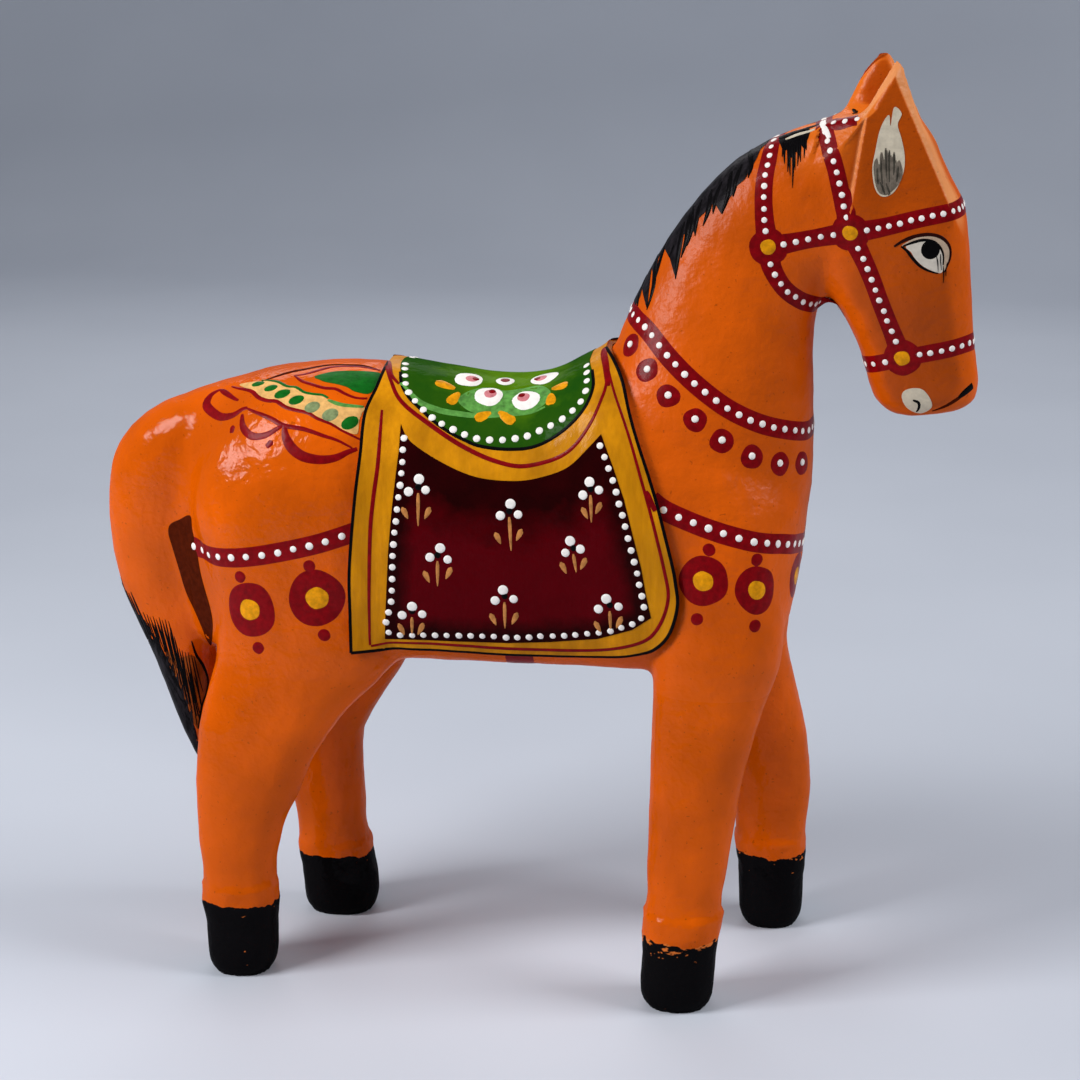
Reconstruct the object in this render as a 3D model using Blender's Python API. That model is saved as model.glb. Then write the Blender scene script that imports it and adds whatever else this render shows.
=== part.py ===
"""Painted wooden horse figurine: its carved wooden blocks, their dowels and the saddle cloth.

The horse looks along +X and stands on the plane Z = 0, its right side towards -Y.
The origin is on the floor under the middle of its length and width.
Sizes are in millimetres and turn into metres where the meshes are made.

The carver's way is followed. Turned and tapered forms are joined into one rough horse,
its corners are worn smooth, and the smooth horse is parted at the glue joints into blocks.
Each joint holds blind dowels. The saddle cloth is a layer of stiffened cloth that follows
the back and the sides.
"""

import bmesh
import bpy
from math import cos, pi, sin, tau
from mathutils import Vector

MM = 0.001

# Lengths along X
TAIL_DEPTH = 31.3
BODY_LENGTH = 198.2
HEAD_REACH = 50.6
NECK_SPREAD = 62.0
EAR_WIDTH = 30.0

# Heights
LEG_LENGTH = 103.5
BODY_DEPTH = 95.0
NECK_RISE = 76.0
HEAD_LENGTH = 91.0
EAR_HEIGHT = 42.0
TAIL_LENGTH = 128.0
TAIL_SET = 13.5

# Widths across Y
HAUNCH_WIDTH = 73.0
BARREL_WIDTH = 66.5
SHOULDER_WIDTH = 73.0
NECK_BASE_WIDTH = 52.0
NECK_TOP_WIDTH = 30.0
HEAD_WIDTH = 31.0
MUZZLE_WIDTH = 22.0
EAR_THICKNESS = 13.0
TAIL_WIDTH = 28.0

# Legs: the far legs stand in front of the near ones by the stagger
HOOF_DIAMETER = 22.8
FORE_STANCE = 73.0
HIND_STANCE = 55.4
FORE_STAGGER = 25.7
HIND_STAGGER = 21.7
SHOULDER_SETBACK = 26.5
HIP_ADVANCE = 38.0
SHOULDER_OUT = 0.74
HIP_OUT = 0.78

# Glue joints
JOINT_GAP = 0.3
NECK_JOINT_SETBACK = 61.5
NECK_JOINT_RISE = 12.0
NECK_JOINT_DROP = 25.0
HEAD_JOINT_SETBACK = 10.0
HEAD_JOINT_DROP = 50.5
JOINT_FRONT = 2.5
TAIL_JOINT_ADVANCE = 9.2
TAIL_JOINT_SETBACK = 37.8
TAIL_JOINT_DROP = 48.5
TAIL_JOINT_MARGIN = 0.9
TAIL_TENON = 4.9

# Dowels
DOWEL_CLEARANCE = 0.3
DOWEL_CHAMFER = 0.8
DOWEL_SIDES = 16
LEG_DOWEL_DIAMETER = 6.0
LEG_DOWEL_LENGTH = 34.0
LEG_DOWEL_SPACING = 13.0
NECK_DOWEL_DIAMETER = 8.0
NECK_DOWEL_LENGTH = 40.0
NECK_DOWEL_SPACING = 26.0
HEAD_DOWEL_DIAMETER = 6.0
HEAD_DOWEL_LENGTH = 26.0
HEAD_DOWEL_SPACING = 18.0
TAIL_DOWEL_DIAMETER = 5.0
TAIL_DOWEL_LENGTH = 24.0
TAIL_DOWEL_SPACING = 20.0

# Saddle cloth: its rear edge is placed from the tail root and its front edge from the chest
CLOTH_THICKNESS = 1.8
CLOTH_CLEARANCE = 0.3
CLOTH_HEM_HEIGHT = 7.5
CLOTH_REAR_HEM = 56.0
CLOTH_REAR_TOP = 63.5
CLOTH_FRONT_HEM = 36.7
CLOTH_FRONT_TOP = 63.5
CLOTH_CORNER = 12.0
CLOTH_FRONT_BOW = 1.45
CLOTH_OVER_BACK = 6.0

# Fineness of the smooth horse
GRAIN = 1.7
SMOOTHING_PASSES = 8
WORN_AWAY = 0.35
FORM_TRIANGLES = 6600
RING_POINTS = 40
RING_STEP = 3.0
LEG_RING_STEP = 0.04
SHARP_ANGLE = pi / 5

# Finishes
ORANGE_PAINT = (0.80, 0.22, 0.02)
OCHRE_PAINT = (0.75, 0.40, 0.02)
BARE_WOOD = (0.62, 0.44, 0.26)

# Planes and directions that the pieces share
TAIL_ROOT_X = TAIL_DEPTH - (TAIL_DEPTH + BODY_LENGTH + HEAD_REACH) / 2
CHEST_X = TAIL_ROOT_X + BODY_LENGTH
SHOULDER_X = CHEST_X - SHOULDER_SETBACK
HIP_X = TAIL_ROOT_X + HIP_ADVANCE
BACK_Z = LEG_LENGTH + BODY_DEPTH
TAIL_TOP_Z = BACK_Z - TAIL_SET
POLL_Z = BACK_Z + NECK_RISE
ALONG = Vector((1, 0, 0))
ACROSS = Vector((0, 1, 0))
UPWARD = Vector((0, 0, 1))
WIDE = 90.0
FAR_OUT = 400.0

# Each slanted glue joint is a line in the XZ plane, from its upper to its lower end
NECK_JOINT = (Vector((CHEST_X - NECK_JOINT_SETBACK, 0.0, BACK_Z + NECK_JOINT_RISE)),
              Vector((CHEST_X + JOINT_FRONT, 0.0, BACK_Z - NECK_JOINT_DROP)))
HEAD_JOINT = (Vector((CHEST_X - HEAD_JOINT_SETBACK, 0.0, POLL_Z)),
              Vector((CHEST_X + JOINT_FRONT, 0.0, POLL_Z - HEAD_JOINT_DROP)))
TAIL_JOINT = (Vector((HIP_X - TAIL_JOINT_SETBACK + TAIL_JOINT_ADVANCE, 0.0, TAIL_TOP_Z)),
              Vector((HIP_X - TAIL_JOINT_SETBACK, 0.0, LEG_LENGTH - TAIL_JOINT_DROP)))

# Rows of the legs: height as a share of the leg's length, rear and front edges in hooves from
# the hip or shoulder, half width in hooves, place across as a share of half the stance, and
# the share of the stagger that this height takes
SHOULDER = (
    (1.10, -0.886, 0.860, 0.68, 0.70, 0.0),
    (1.26, -0.921, 0.921, 0.73, 0.61, 0.0),
    (1.48, -0.921, 0.877, 0.74, 0.53, 0.0),
    (1.64, -0.702, 0.614, 0.60, 0.46, 0.0),
    (1.72, -0.395, 0.351, 0.35, 0.42, 0.0),
)
HAUNCH = (
    (1.08, -1.263, 1.360, 0.73, 0.74, 0.0),
    (1.22, -1.263, 1.184, 0.78, 0.68, 0.0),
    (1.35, -1.430, 0.965, 0.81, 0.64, 0.0),
    (1.48, -1.588, 0.658, 0.80, 0.62, 0.0),
    (1.62, -1.518, 0.351, 0.72, 0.58, 0.0),
    (1.72, -1.228, 0.000, 0.55, 0.54, 0.0),
    (1.78, -0.877, -0.351, 0.30, 0.50, 0.0),
)
NEAR_FORE = (
    (0.22, -0.399, 0.614, 0.49, 0.98, 0.95),
    (0.36, -0.404, 0.653, 0.49, 0.96, 0.91),
    (0.50, -0.419, 0.704, 0.50, 0.93, 0.86),
    (0.67, -0.523, 0.697, 0.53, 0.88, 0.66),
    (0.80, -0.657, 0.672, 0.56, 0.83, 0.41),
    (0.92, -0.771, 0.711, 0.60, 0.78, 0.20),
    (1.00, -0.847, 0.759, 0.64, SHOULDER_OUT, 0.07),
)
FAR_FORE = (
    (0.26, -0.380, 0.607, 0.49, 0.98, 0.94),
    (0.36, -0.416, 0.658, 0.49, 0.96, 0.91),
    (0.50, -0.423, 0.717, 0.50, 0.93, 0.86),
    (0.67, -0.591, 0.760, 0.53, 0.88, 0.66),
    (0.85, -0.794, 0.776, 0.57, 0.81, 0.32),
    (1.00, -0.873, 0.776, 0.64, SHOULDER_OUT, 0.07),
)
NEAR_HIND = (
    (0.22, -1.044, -0.039, 0.49, 1.00, 0.92),
    (0.37, -1.121, -0.043, 0.50, 0.99, 0.86),
    (0.50, -1.206, 0.031, 0.52, 0.98, 0.76),
    (0.59, -1.284, 0.177, 0.54, 0.96, 0.62),
    (0.69, -1.327, 0.296, 0.56, 0.93, 0.51),
    (0.81, -1.338, 0.575, 0.60, 0.88, 0.40),
    (0.89, -1.312, 0.815, 0.64, 0.83, 0.28),
    (1.00, -1.283, 1.208, 0.69, HIP_OUT, 0.05),
)
FAR_HIND = (
    (0.12, -1.070, 0.070, 0.50, 1.00, 0.99),
    (0.25, -1.086, -0.025, 0.49, 1.00, 0.90),
    (0.37, -1.102, -0.054, 0.50, 0.99, 0.86),
    (0.59, -1.146, 0.034, 0.54, 0.96, 0.62),
    (0.67, -1.218, 0.168, 0.56, 0.93, 0.53),
    (0.78, -1.344, 0.507, 0.59, 0.89, 0.43),
    (0.88, -1.380, 0.865, 0.63, 0.83, 0.30),
    (1.00, -1.322, 1.248, 0.69, HIP_OUT, 0.05),
)


def hoof_rows(rear, front):
    """The first rows of a leg: a sole with worn edges under an upright hoof."""
    middle = (rear + front) / 2
    half = (front - rear) / 2
    return tuple((share, middle - half * size, middle + half * size, 0.5 * size, 1.0, 1.0)
                 for share, size in ((-0.015, 0.64), (0.006, 0.85), (0.03, 0.97), (0.07, 1.0)))


# For each leg: its side, the hip or shoulder it hangs from, its rows, its stance, its stagger
LEGS = {
    "fore_leg_near": (-1, SHOULDER_X, hoof_rows(-0.419, 0.599) + NEAR_FORE + SHOULDER,
                      FORE_STANCE, FORE_STAGGER),
    "fore_leg_far": (1, SHOULDER_X, hoof_rows(-0.379, 0.559) + FAR_FORE + SHOULDER,
                     FORE_STANCE, FORE_STAGGER),
    "hind_leg_near": (-1, HIP_X, hoof_rows(-0.989, 0.002) + NEAR_HIND + HAUNCH,
                      HIND_STANCE, HIND_STAGGER),
    "hind_leg_far": (1, HIP_X, hoof_rows(-1.055, 0.068) + FAR_HIND + HAUNCH,
                     HIND_STANCE, HIND_STAGGER),
}


def smooth_rows(rows, step):
    """Reads extra rows from a smooth curve through the rows, about a step apart."""
    out = []
    for i in range(len(rows) - 1):
        before = rows[max(i - 1, 0)]
        start = rows[i]
        end = rows[i + 1]
        after = rows[min(i + 2, len(rows) - 1)]
        reach = max(abs(a - b) for a, b in zip(start[:2], end[:2]))
        count = max(1, round(reach / step))
        for k in range(count):
            t = k / count
            out.append(tuple(
                0.5 * (2 * b + (c - a) * t + (2 * a - 5 * b + 4 * c - d) * t ** 2
                       + (3 * b - a - 3 * c + d) * t ** 3)
                for a, b, c, d in zip(before, start, end, after)))
    out.append(tuple(rows[-1]))
    return out


def power(value, exponent):
    return abs(value) ** exponent * (1 if value >= 0 else -1)


def oval(centre, along, across, half_along, half_across, fullness, under=None):
    """One ring of a loft: an oval that fullness squares up, with its own fullness underneath."""
    ring = []
    for k in range(RING_POINTS):
        angle = tau * k / RING_POINTS
        n = under if under and cos(angle) < 0 else fullness
        ring.append(centre
                    + along * (half_along + WORN_AWAY) * power(cos(angle), 2 / n)
                    + across * (half_across + WORN_AWAY) * power(sin(angle), 2 / n))
    return ring


def loft(name, rings):
    """A closed skin through the rings, with flat ends."""
    bm = bmesh.new()
    loops = [[bm.verts.new(point * MM) for point in ring] for ring in rings]
    for low, high in zip(loops, loops[1:]):
        for k in range(len(low)):
            j = (k + 1) % len(low)
            bm.faces.new((low[k], low[j], high[j], high[k]))
    bm.faces.new(loops[0])
    bm.faces.new(loops[-1])
    bmesh.ops.recalc_face_normals(bm, faces=bm.faces[:])
    return as_object(name, bm)


def as_object(name, bm):
    mesh = bpy.data.meshes.new(name)
    bm.to_mesh(mesh)
    bm.free()
    obj = bpy.data.objects.new(name, mesh)
    bpy.context.scene.collection.objects.link(obj)
    return obj


def hide(obj):
    obj.hide_render = True
    obj.display_type = 'WIRE'
    return obj


def cut(obj, other, operation):
    """Adds a Boolean that keeps or takes away the other object's space."""
    mod = obj.modifiers.new(operation.title(), 'BOOLEAN')
    mod.operation = operation
    mod.solver = 'EXACT'
    mod.object = hide(other)


def evaluated_mesh(obj):
    graph = bpy.context.evaluated_depsgraph_get()
    return bpy.data.meshes.new_from_object(obj.evaluated_get(graph))


def torso_form():
    rows = (
        # distance from the tail root in body lengths, top and belly above the legs in body
        # depths, half width
        (-0.061, 0.842, 0.379, 8.0),
        (-0.030, 0.879, 0.211, 14.0),
        (0.010, 0.912, 0.042, 0.28 * HAUNCH_WIDTH),
        (0.061, 0.945, 0.021, 0.38 * HAUNCH_WIDTH),
        (0.131, 0.983, 0.021, 0.48 * HAUNCH_WIDTH),
        (0.222, 1.006, 0.021, 0.50 * HAUNCH_WIDTH),
        (0.313, 1.006, 0.021, 0.51 * BARREL_WIDTH),
        (0.394, 0.981, 0.021, 0.50 * BARREL_WIDTH),
        (0.505, 0.955, 0.021, 0.50 * BARREL_WIDTH),
        (0.585, 0.975, 0.021, 0.50 * BARREL_WIDTH),
        (0.646, 1.038, 0.021, 0.51 * BARREL_WIDTH),
        (0.691, 1.074, 0.021, 0.53 * BARREL_WIDTH),
        (0.777, 0.989, 0.023, 0.49 * SHOULDER_WIDTH),
        (0.868, 0.905, 0.042, 0.49 * SHOULDER_WIDTH),
        (0.928, 0.821, 0.089, 0.44 * SHOULDER_WIDTH),
        (0.966, 0.747, 0.160, 0.37 * SHOULDER_WIDTH),
        (0.986, 0.674, 0.270, 0.28 * SHOULDER_WIDTH),
        (0.999, 0.589, 0.380, 0.15 * SHOULDER_WIDTH),
    )
    rings = []
    for x, top, belly, half_width in smooth_rows(rows, RING_STEP / BODY_LENGTH):
        high = LEG_LENGTH + top * BODY_DEPTH
        low = LEG_LENGTH + belly * BODY_DEPTH
        centre = Vector((TAIL_ROOT_X + x * BODY_LENGTH, 0.0, (high + low) / 2))
        rings.append(oval(centre, UPWARD, ACROSS, (high - low) / 2, half_width, 2.3, 4.0))
    return loft("torso_form", rings)


def between(rows):
    """Rings whose ends lie on two outline points each, such as crest and throat."""
    rings = []
    for x0, z0, x1, z1, half_width, fullness in smooth_rows(rows, RING_STEP):
        back = Vector((x0, 0.0, z0))
        front = Vector((x1, 0.0, z1))
        along = (front - back).normalized()
        rings.append(oval((back + front) / 2, along, ACROSS,
                          (front - back).length / 2, half_width, fullness))
    return rings


def placed(rows, length_unit, floor_z, height_unit):
    """Puts outline rows, counted from the chest and a height, at their real size."""
    return [(CHEST_X + x0 * length_unit, floor_z + z0 * height_unit,
             CHEST_X + x1 * length_unit, floor_z + z1 * height_unit, half_width, fullness)
            for x0, z0, x1, z1, half_width, fullness in rows]


def neck_form():
    rows = (
        # crest x and throat x from the chest in neck spreads, z from the back in neck rises
        (-1.258, -0.211, -0.097, -0.868, 0.55 * NECK_BASE_WIDTH, 2.2),
        (-1.032, 0.079, -0.006, -0.553, 0.56 * NECK_BASE_WIDTH, 2.2),
        (-0.971, 0.195, 0.005, -0.316, 0.50 * NECK_BASE_WIDTH, 2.2),
        (-0.890, 0.345, 0.000, -0.079, 0.42 * NECK_BASE_WIDTH, 2.2),
        (-0.752, 0.555, -0.010, 0.125, 0.59 * NECK_TOP_WIDTH, 2.2),
        (-0.589, 0.743, 0.006, 0.289, 0.53 * NECK_TOP_WIDTH, 2.3),
        (-0.413, 0.887, 0.081, 0.395, 0.50 * NECK_TOP_WIDTH, 2.3),
        (-0.194, 0.997, 0.258, 0.474, 0.49 * NECK_TOP_WIDTH, 2.3),
        (0.000, 1.053, 0.419, 0.632, 0.44 * NECK_TOP_WIDTH, 2.3),
    )
    return loft("neck_form", between(placed(rows, NECK_SPREAD, BACK_Z, NECK_RISE)))


def head_form():
    rows = (
        # jaw x and forehead x from the chest in head reaches, z from the poll in head lengths
        (0.138, 0.077, 0.573, 0.077, 0.40 * HEAD_WIDTH, 2.6),
        (-0.079, 0.011, 0.680, 0.000, 0.48 * HEAD_WIDTH, 2.6),
        (-0.158, -0.154, 0.781, -0.121, 0.50 * HEAD_WIDTH, 2.8),
        (-0.099, -0.319, 0.881, -0.231, 0.50 * HEAD_WIDTH, 2.8),
        (0.040, -0.495, 0.921, -0.396, 0.48 * HEAD_WIDTH, 2.8),
        (0.170, -0.599, 0.949, -0.582, 0.43 * HEAD_WIDTH, 2.7),
        (0.281, -0.720, 0.978, -0.725, 0.53 * MUZZLE_WIDTH, 2.6),
        (0.344, -0.841, 1.006, -0.819, 0.50 * MUZZLE_WIDTH, 2.5),
        (0.403, -0.912, 0.996, -0.890, 0.46 * MUZZLE_WIDTH, 2.4),
        (0.514, -0.952, 0.901, -0.932, 0.32 * MUZZLE_WIDTH, 2.3),
    )
    return loft("head_form", between(placed(rows, HEAD_REACH, POLL_Z, HEAD_LENGTH)))


def ear_form(name, side, rows):
    """A tall leaf with a flat outer face.

    Each row holds a height in ear heights, the middle from the chest in head reaches, the
    width in ear widths, and the thickness and the place across in ear thicknesses.
    """
    root_z = POLL_Z - 0.2 * HEAD_LENGTH
    rings = []
    for height, middle, width, thick, out in rows:
        centre = Vector((CHEST_X + middle * HEAD_REACH,
                         side * out * EAR_THICKNESS,
                         root_z + height * EAR_HEIGHT))
        rings.append(oval(centre, ALONG, ACROSS,
                          width * EAR_WIDTH / 2, thick * EAR_THICKNESS / 2, 2.8))
    return loft(name, rings)


def near_ear():
    rows = (
        (-0.30, 0.474, 0.867, 0.85, 0.56),
        (-0.10, 0.488, 0.980, 0.95, 0.60),
        (0.15, 0.470, 0.947, 0.95, 0.62),
        (0.38, 0.435, 0.813, 0.80, 0.63),
        (0.62, 0.427, 0.533, 0.62, 0.61),
        (0.84, 0.443, 0.253, 0.40, 0.58),
        (0.98, 0.458, 0.093, 0.20, 0.56),
        (1.03, 0.462, 0.040, 0.08, 0.56))
    return ear_form("near_ear_form", -1, rows)


def far_ear():
    rows = (
        (-0.30, 0.464, 0.833, 0.85, 0.56),
        (-0.10, 0.470, 0.947, 0.95, 0.60),
        (0.15, 0.445, 0.967, 0.95, 0.62),
        (0.40, 0.397, 0.887, 0.80, 0.63),
        (0.66, 0.360, 0.680, 0.62, 0.61),
        (0.86, 0.356, 0.400, 0.42, 0.58),
        (1.00, 0.370, 0.167, 0.24, 0.56),
        (1.06, 0.377, 0.073, 0.08, 0.56))
    return ear_form("far_ear_form", 1, rows)


def tail_front(z):
    """The tail goes into the body above the legs, and stays behind the haunches below."""
    inside = min(max((z - LEG_LENGTH - 1.0) / 8.0, 0.0), 1.0)
    return line_at_z(TAIL_JOINT, z) - TAIL_JOINT_MARGIN + inside * TAIL_TENON


def tail_form():
    rows = (
        # drop from the top in tail lengths, back from the tail root in tail depths, half width
        (-0.008, 0.319, 0.36 * TAIL_WIDTH),
        (0.027, 0.556, 0.46 * TAIL_WIDTH),
        (0.070, 0.757, 0.52 * TAIL_WIDTH),
        (0.125, 0.901, 0.54 * TAIL_WIDTH),
        (0.195, 0.984, 0.53 * TAIL_WIDTH),
        (0.336, 1.006, 0.50 * TAIL_WIDTH),
        (0.469, 0.939, 0.47 * TAIL_WIDTH),
        (0.547, 0.850, 0.45 * TAIL_WIDTH),
        (0.602, 0.760, 0.44 * TAIL_WIDTH),
        (0.633, 0.700, 0.43 * TAIL_WIDTH),
        (0.672, 0.629, 0.41 * TAIL_WIDTH),
        (0.750, 0.495, 0.36 * TAIL_WIDTH),
        (0.844, 0.339, 0.28 * TAIL_WIDTH),
        (0.930, 0.185, 0.18 * TAIL_WIDTH),
        (0.984, 0.089, 0.07 * TAIL_WIDTH),
    )
    rings = []
    for drop, back, half_width in smooth_rows(rows, RING_STEP / TAIL_LENGTH):
        z = TAIL_TOP_Z - drop * TAIL_LENGTH
        rear = TAIL_ROOT_X - back * TAIL_DEPTH
        front = tail_front(z)
        centre = Vector(((rear + front) / 2, 0.0, z))
        rings.append(oval(centre, ALONG, ACROSS, (front - rear) / 2, half_width, 2.2))
    return loft("tail_form", rings)


def leg_form(name):
    """Level rings from under the sole, up the leg and into the body."""
    side, hip_x, rows, stance, stagger = LEGS[name]
    rings = []
    for share, rear, front, half_width, out, lead in smooth_rows(rows, LEG_RING_STEP):
        z = share * LEG_LENGTH
        shift = hip_x + side * lead * stagger / 2
        rear_x = shift + rear * HOOF_DIAMETER
        front_x = shift + front * HOOF_DIAMETER
        if z < LEG_LENGTH:
            rear_x = max(rear_x, line_at_z(TAIL_JOINT, z) + TAIL_JOINT_MARGIN)
        centre = Vector(((rear_x + front_x) / 2, side * out * stance / 2, z))
        rings.append(oval(centre, ALONG, ACROSS,
                          (front_x - rear_x) / 2, half_width * HOOF_DIAMETER, 2.3))
    return loft(name + "_form", rings)


def carved_form():
    """The whole horse as one smooth skin, before it is parted into blocks."""
    forms = [torso_form(), neck_form(), head_form(), tail_form(), near_ear(), far_ear()]
    forms += [leg_form(name) for name in LEGS]
    bm = bmesh.new()
    for form in forms:
        bm.from_mesh(form.data)
        bpy.data.objects.remove(form)
    horse = as_object("horse_form", bm)
    remesh = horse.modifiers.new("One skin", 'REMESH')
    remesh.mode = 'VOXEL'
    remesh.voxel_size = GRAIN * MM
    rub = horse.modifiers.new("Rub down", 'SMOOTH')
    rub.factor = 0.5
    rub.iterations = SMOOTHING_PASSES
    fine = evaluated_mesh(horse)
    fine.calc_loop_triangles()
    thin = horse.modifiers.new("Fewer faces", 'DECIMATE')
    thin.decimate_type = 'COLLAPSE'
    thin.ratio = min(1.0, FORM_TRIANGLES / len(fine.loop_triangles))
    thin.use_collapse_triangulate = True
    skin = evaluated_mesh(horse)
    bpy.data.objects.remove(horse)
    return skin


def prism(name, outline, reach=(-WIDE, WIDE)):
    """A block with an outline in the XZ plane, between two places across."""
    bm = bmesh.new()
    near = [bm.verts.new((x * MM, reach[0] * MM, z * MM)) for x, z in outline]
    far = [bm.verts.new((x * MM, reach[1] * MM, z * MM)) for x, z in outline]
    bm.faces.new(near)
    bm.faces.new(far)
    for k in range(len(outline)):
        j = (k + 1) % len(outline)
        bm.faces.new((near[k], near[j], far[j], far[k]))
    bmesh.ops.recalc_face_normals(bm, faces=bm.faces[:])
    return hide(as_object(name, bm))


def rod(name, centre, axis, diameter, length, chamfer=0.0):
    """A dowel or, made a little larger, the bore for one."""
    radius = diameter / 2
    turn = UPWARD.rotation_difference(axis).to_matrix()
    steps = [(-length / 2, radius - chamfer), (length / 2, radius - chamfer)]
    if chamfer:
        steps[1:1] = [(-length / 2 + chamfer, radius), (length / 2 - chamfer, radius)]
    turns = [tau * k / DOWEL_SIDES for k in range(DOWEL_SIDES)]
    rings = [[centre + turn @ Vector((r * cos(angle), r * sin(angle), z)) for angle in turns]
             for z, r in steps]
    return loft(name, rings)


def line_at_z(line, z):
    start, end = line
    return start.x + (end.x - start.x) * (z - start.z) / (end.z - start.z)


def line_at_x(line, x):
    start, end = line
    return start.z + (end.z - start.z) * (x - start.x) / (end.x - start.x)


def crossing(first, second):
    """Where two joint lines meet."""
    a, b = first
    c, d = second
    run = b - a
    cross = run.x * (d.z - c.z) - run.z * (d.x - c.x)
    t = ((c.x - a.x) * (d.z - c.z) - (c.z - a.z) * (d.x - c.x)) / cross
    return a.x + run.x * t, a.z + run.z * t


def joint_frame(line):
    """Middle of a slanted joint, the direction along it, and its normal towards the head."""
    start, end = line
    along = (end - start).normalized()
    normal = Vector((-along.z, 0.0, along.x))
    return (start + end) / 2, along, normal


def moved(line, distance):
    """The joint line, moved along its normal."""
    normal = joint_frame(line)[2]
    return line[0] + normal * distance, line[1] + normal * distance


def block_outlines():
    """The space that each block of wood may fill: its outline in the XZ plane and its reach."""
    gap = JOINT_GAP / 2
    leg_top = LEG_LENGTH - gap
    belly = LEG_LENGTH + gap
    chin_z = (BACK_Z + LEG_LENGTH) / 2
    below_neck = moved(NECK_JOINT, -gap)
    above_neck = moved(NECK_JOINT, gap)
    behind_head = moved(HEAD_JOINT, -gap)
    before_head = moved(HEAD_JOINT, gap)
    before_tail = moved(TAIL_JOINT, gap)
    behind_tail = moved(TAIL_JOINT, -gap)
    torso = [(line_at_z(before_tail, belly), belly),
             (line_at_z(below_neck, belly), belly),
             crossing(below_neck, before_tail)]
    neck = [crossing(above_neck, behind_head),
            (line_at_z(behind_head, FAR_OUT), FAR_OUT),
            (TAIL_ROOT_X, FAR_OUT),
            (TAIL_ROOT_X, line_at_x(above_neck, TAIL_ROOT_X))]
    head = [(line_at_z(before_head, chin_z), chin_z),
            (FAR_OUT, chin_z),
            (FAR_OUT, FAR_OUT),
            (line_at_z(before_head, FAR_OUT), FAR_OUT)]
    tail = [(-FAR_OUT, 0.0),
            (line_at_z(behind_tail, 0.0), 0.0),
            (line_at_z(behind_tail, BACK_Z + WIDE), BACK_Z + WIDE),
            (-FAR_OUT, BACK_Z + WIDE)]
    hind_leg = [(line_at_z(before_tail, 0.0), 0.0),
                (0.0, 0.0),
                (0.0, leg_top),
                (line_at_z(before_tail, leg_top), leg_top)]
    fore_leg = [(0.0, 0.0),
                (FAR_OUT, 0.0),
                (FAR_OUT, leg_top),
                (0.0, leg_top)]
    both = (-WIDE, WIDE)
    near = (-WIDE, -gap)
    far = (gap, WIDE)
    return {"torso": (torso, both), "neck": (neck, both), "head": (head, both),
            "tail": (tail, both),
            "fore_leg_near": (fore_leg, near), "fore_leg_far": (fore_leg, far),
            "hind_leg_near": (hind_leg, near), "hind_leg_far": (hind_leg, far)}


def leg_middle(name, z):
    """The middle of a leg along X, at a height below the body."""
    side, hip_x, rows, stance, stagger = LEGS[name]
    share = z / LEG_LENGTH
    for low, high in zip(rows, rows[1:]):
        if low[0] <= share <= high[0]:
            t = (share - low[0]) / (high[0] - low[0])
            rear, front, lead = (low[k] + (high[k] - low[k]) * t for k in (1, 2, 5))
            return hip_x + (rear + front) / 2 * HOOF_DIAMETER + side * lead * stagger / 2
    return hip_x


def leg_dowels():
    places = {}
    for name, (side, hip_x, rows, stance, stagger) in LEGS.items():
        out = SHOULDER_OUT if hip_x == SHOULDER_X else HIP_OUT
        middle_x = leg_middle(name, LEG_LENGTH - LEG_DOWEL_LENGTH / 3)
        for which, shift in (("rear", -0.5), ("front", 0.5)):
            centre = Vector((middle_x + shift * LEG_DOWEL_SPACING,
                             side * out * stance / 2, LEG_LENGTH))
            places["dowel_" + name + "_" + which] = (
                centre, UPWARD, LEG_DOWEL_DIAMETER, LEG_DOWEL_LENGTH, ("torso", name))
    return places


def slanted_dowels(joint, line, diameter, length, spacing, blocks):
    middle, along, normal = joint_frame(line)
    return {"dowel_" + joint + "_" + which: (middle + along * shift * spacing, normal,
                                             diameter, length, blocks)
            for which, shift in (("upper", -0.5), ("lower", 0.5))}


def dowel_places():
    """Centre, axis, diameter and length of each dowel, with the two blocks it joins."""
    places = leg_dowels()
    places.update(slanted_dowels("neck", NECK_JOINT, NECK_DOWEL_DIAMETER, NECK_DOWEL_LENGTH,
                                 NECK_DOWEL_SPACING, ("torso", "neck")))
    places.update(slanted_dowels("head", HEAD_JOINT, HEAD_DOWEL_DIAMETER, HEAD_DOWEL_LENGTH,
                                 HEAD_DOWEL_SPACING, ("neck", "head")))
    # The tail's dowels stand in the part of its joint that meets the body
    in_body = (TAIL_JOINT[0], TAIL_JOINT[0].lerp(TAIL_JOINT[1], 0.5))
    places.update(slanted_dowels("tail", in_body, TAIL_DOWEL_DIAMETER, TAIL_DOWEL_LENGTH,
                                 TAIL_DOWEL_SPACING, ("torso", "tail")))
    return places


def bores_for(block, places):
    """One cutter that holds the bore of every dowel in the block."""
    bm = bmesh.new()
    for centre, axis, diameter, length, blocks in places.values():
        if block in blocks:
            bore = rod("bore", centre, axis, diameter + 2 * DOWEL_CLEARANCE,
                       length + 2 * DOWEL_CLEARANCE)
            bm.from_mesh(bore.data)
            bpy.data.objects.remove(bore)
    return hide(as_object(block + "_bores", bm))


def wooden_block(name, form_mesh, space, places, material):
    block = bpy.data.objects.new(name, form_mesh.copy())
    bpy.context.scene.collection.objects.link(block)
    cut(block, space, 'INTERSECT')
    cut(block, bores_for(name, places), 'DIFFERENCE')
    finish(block, material)


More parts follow.
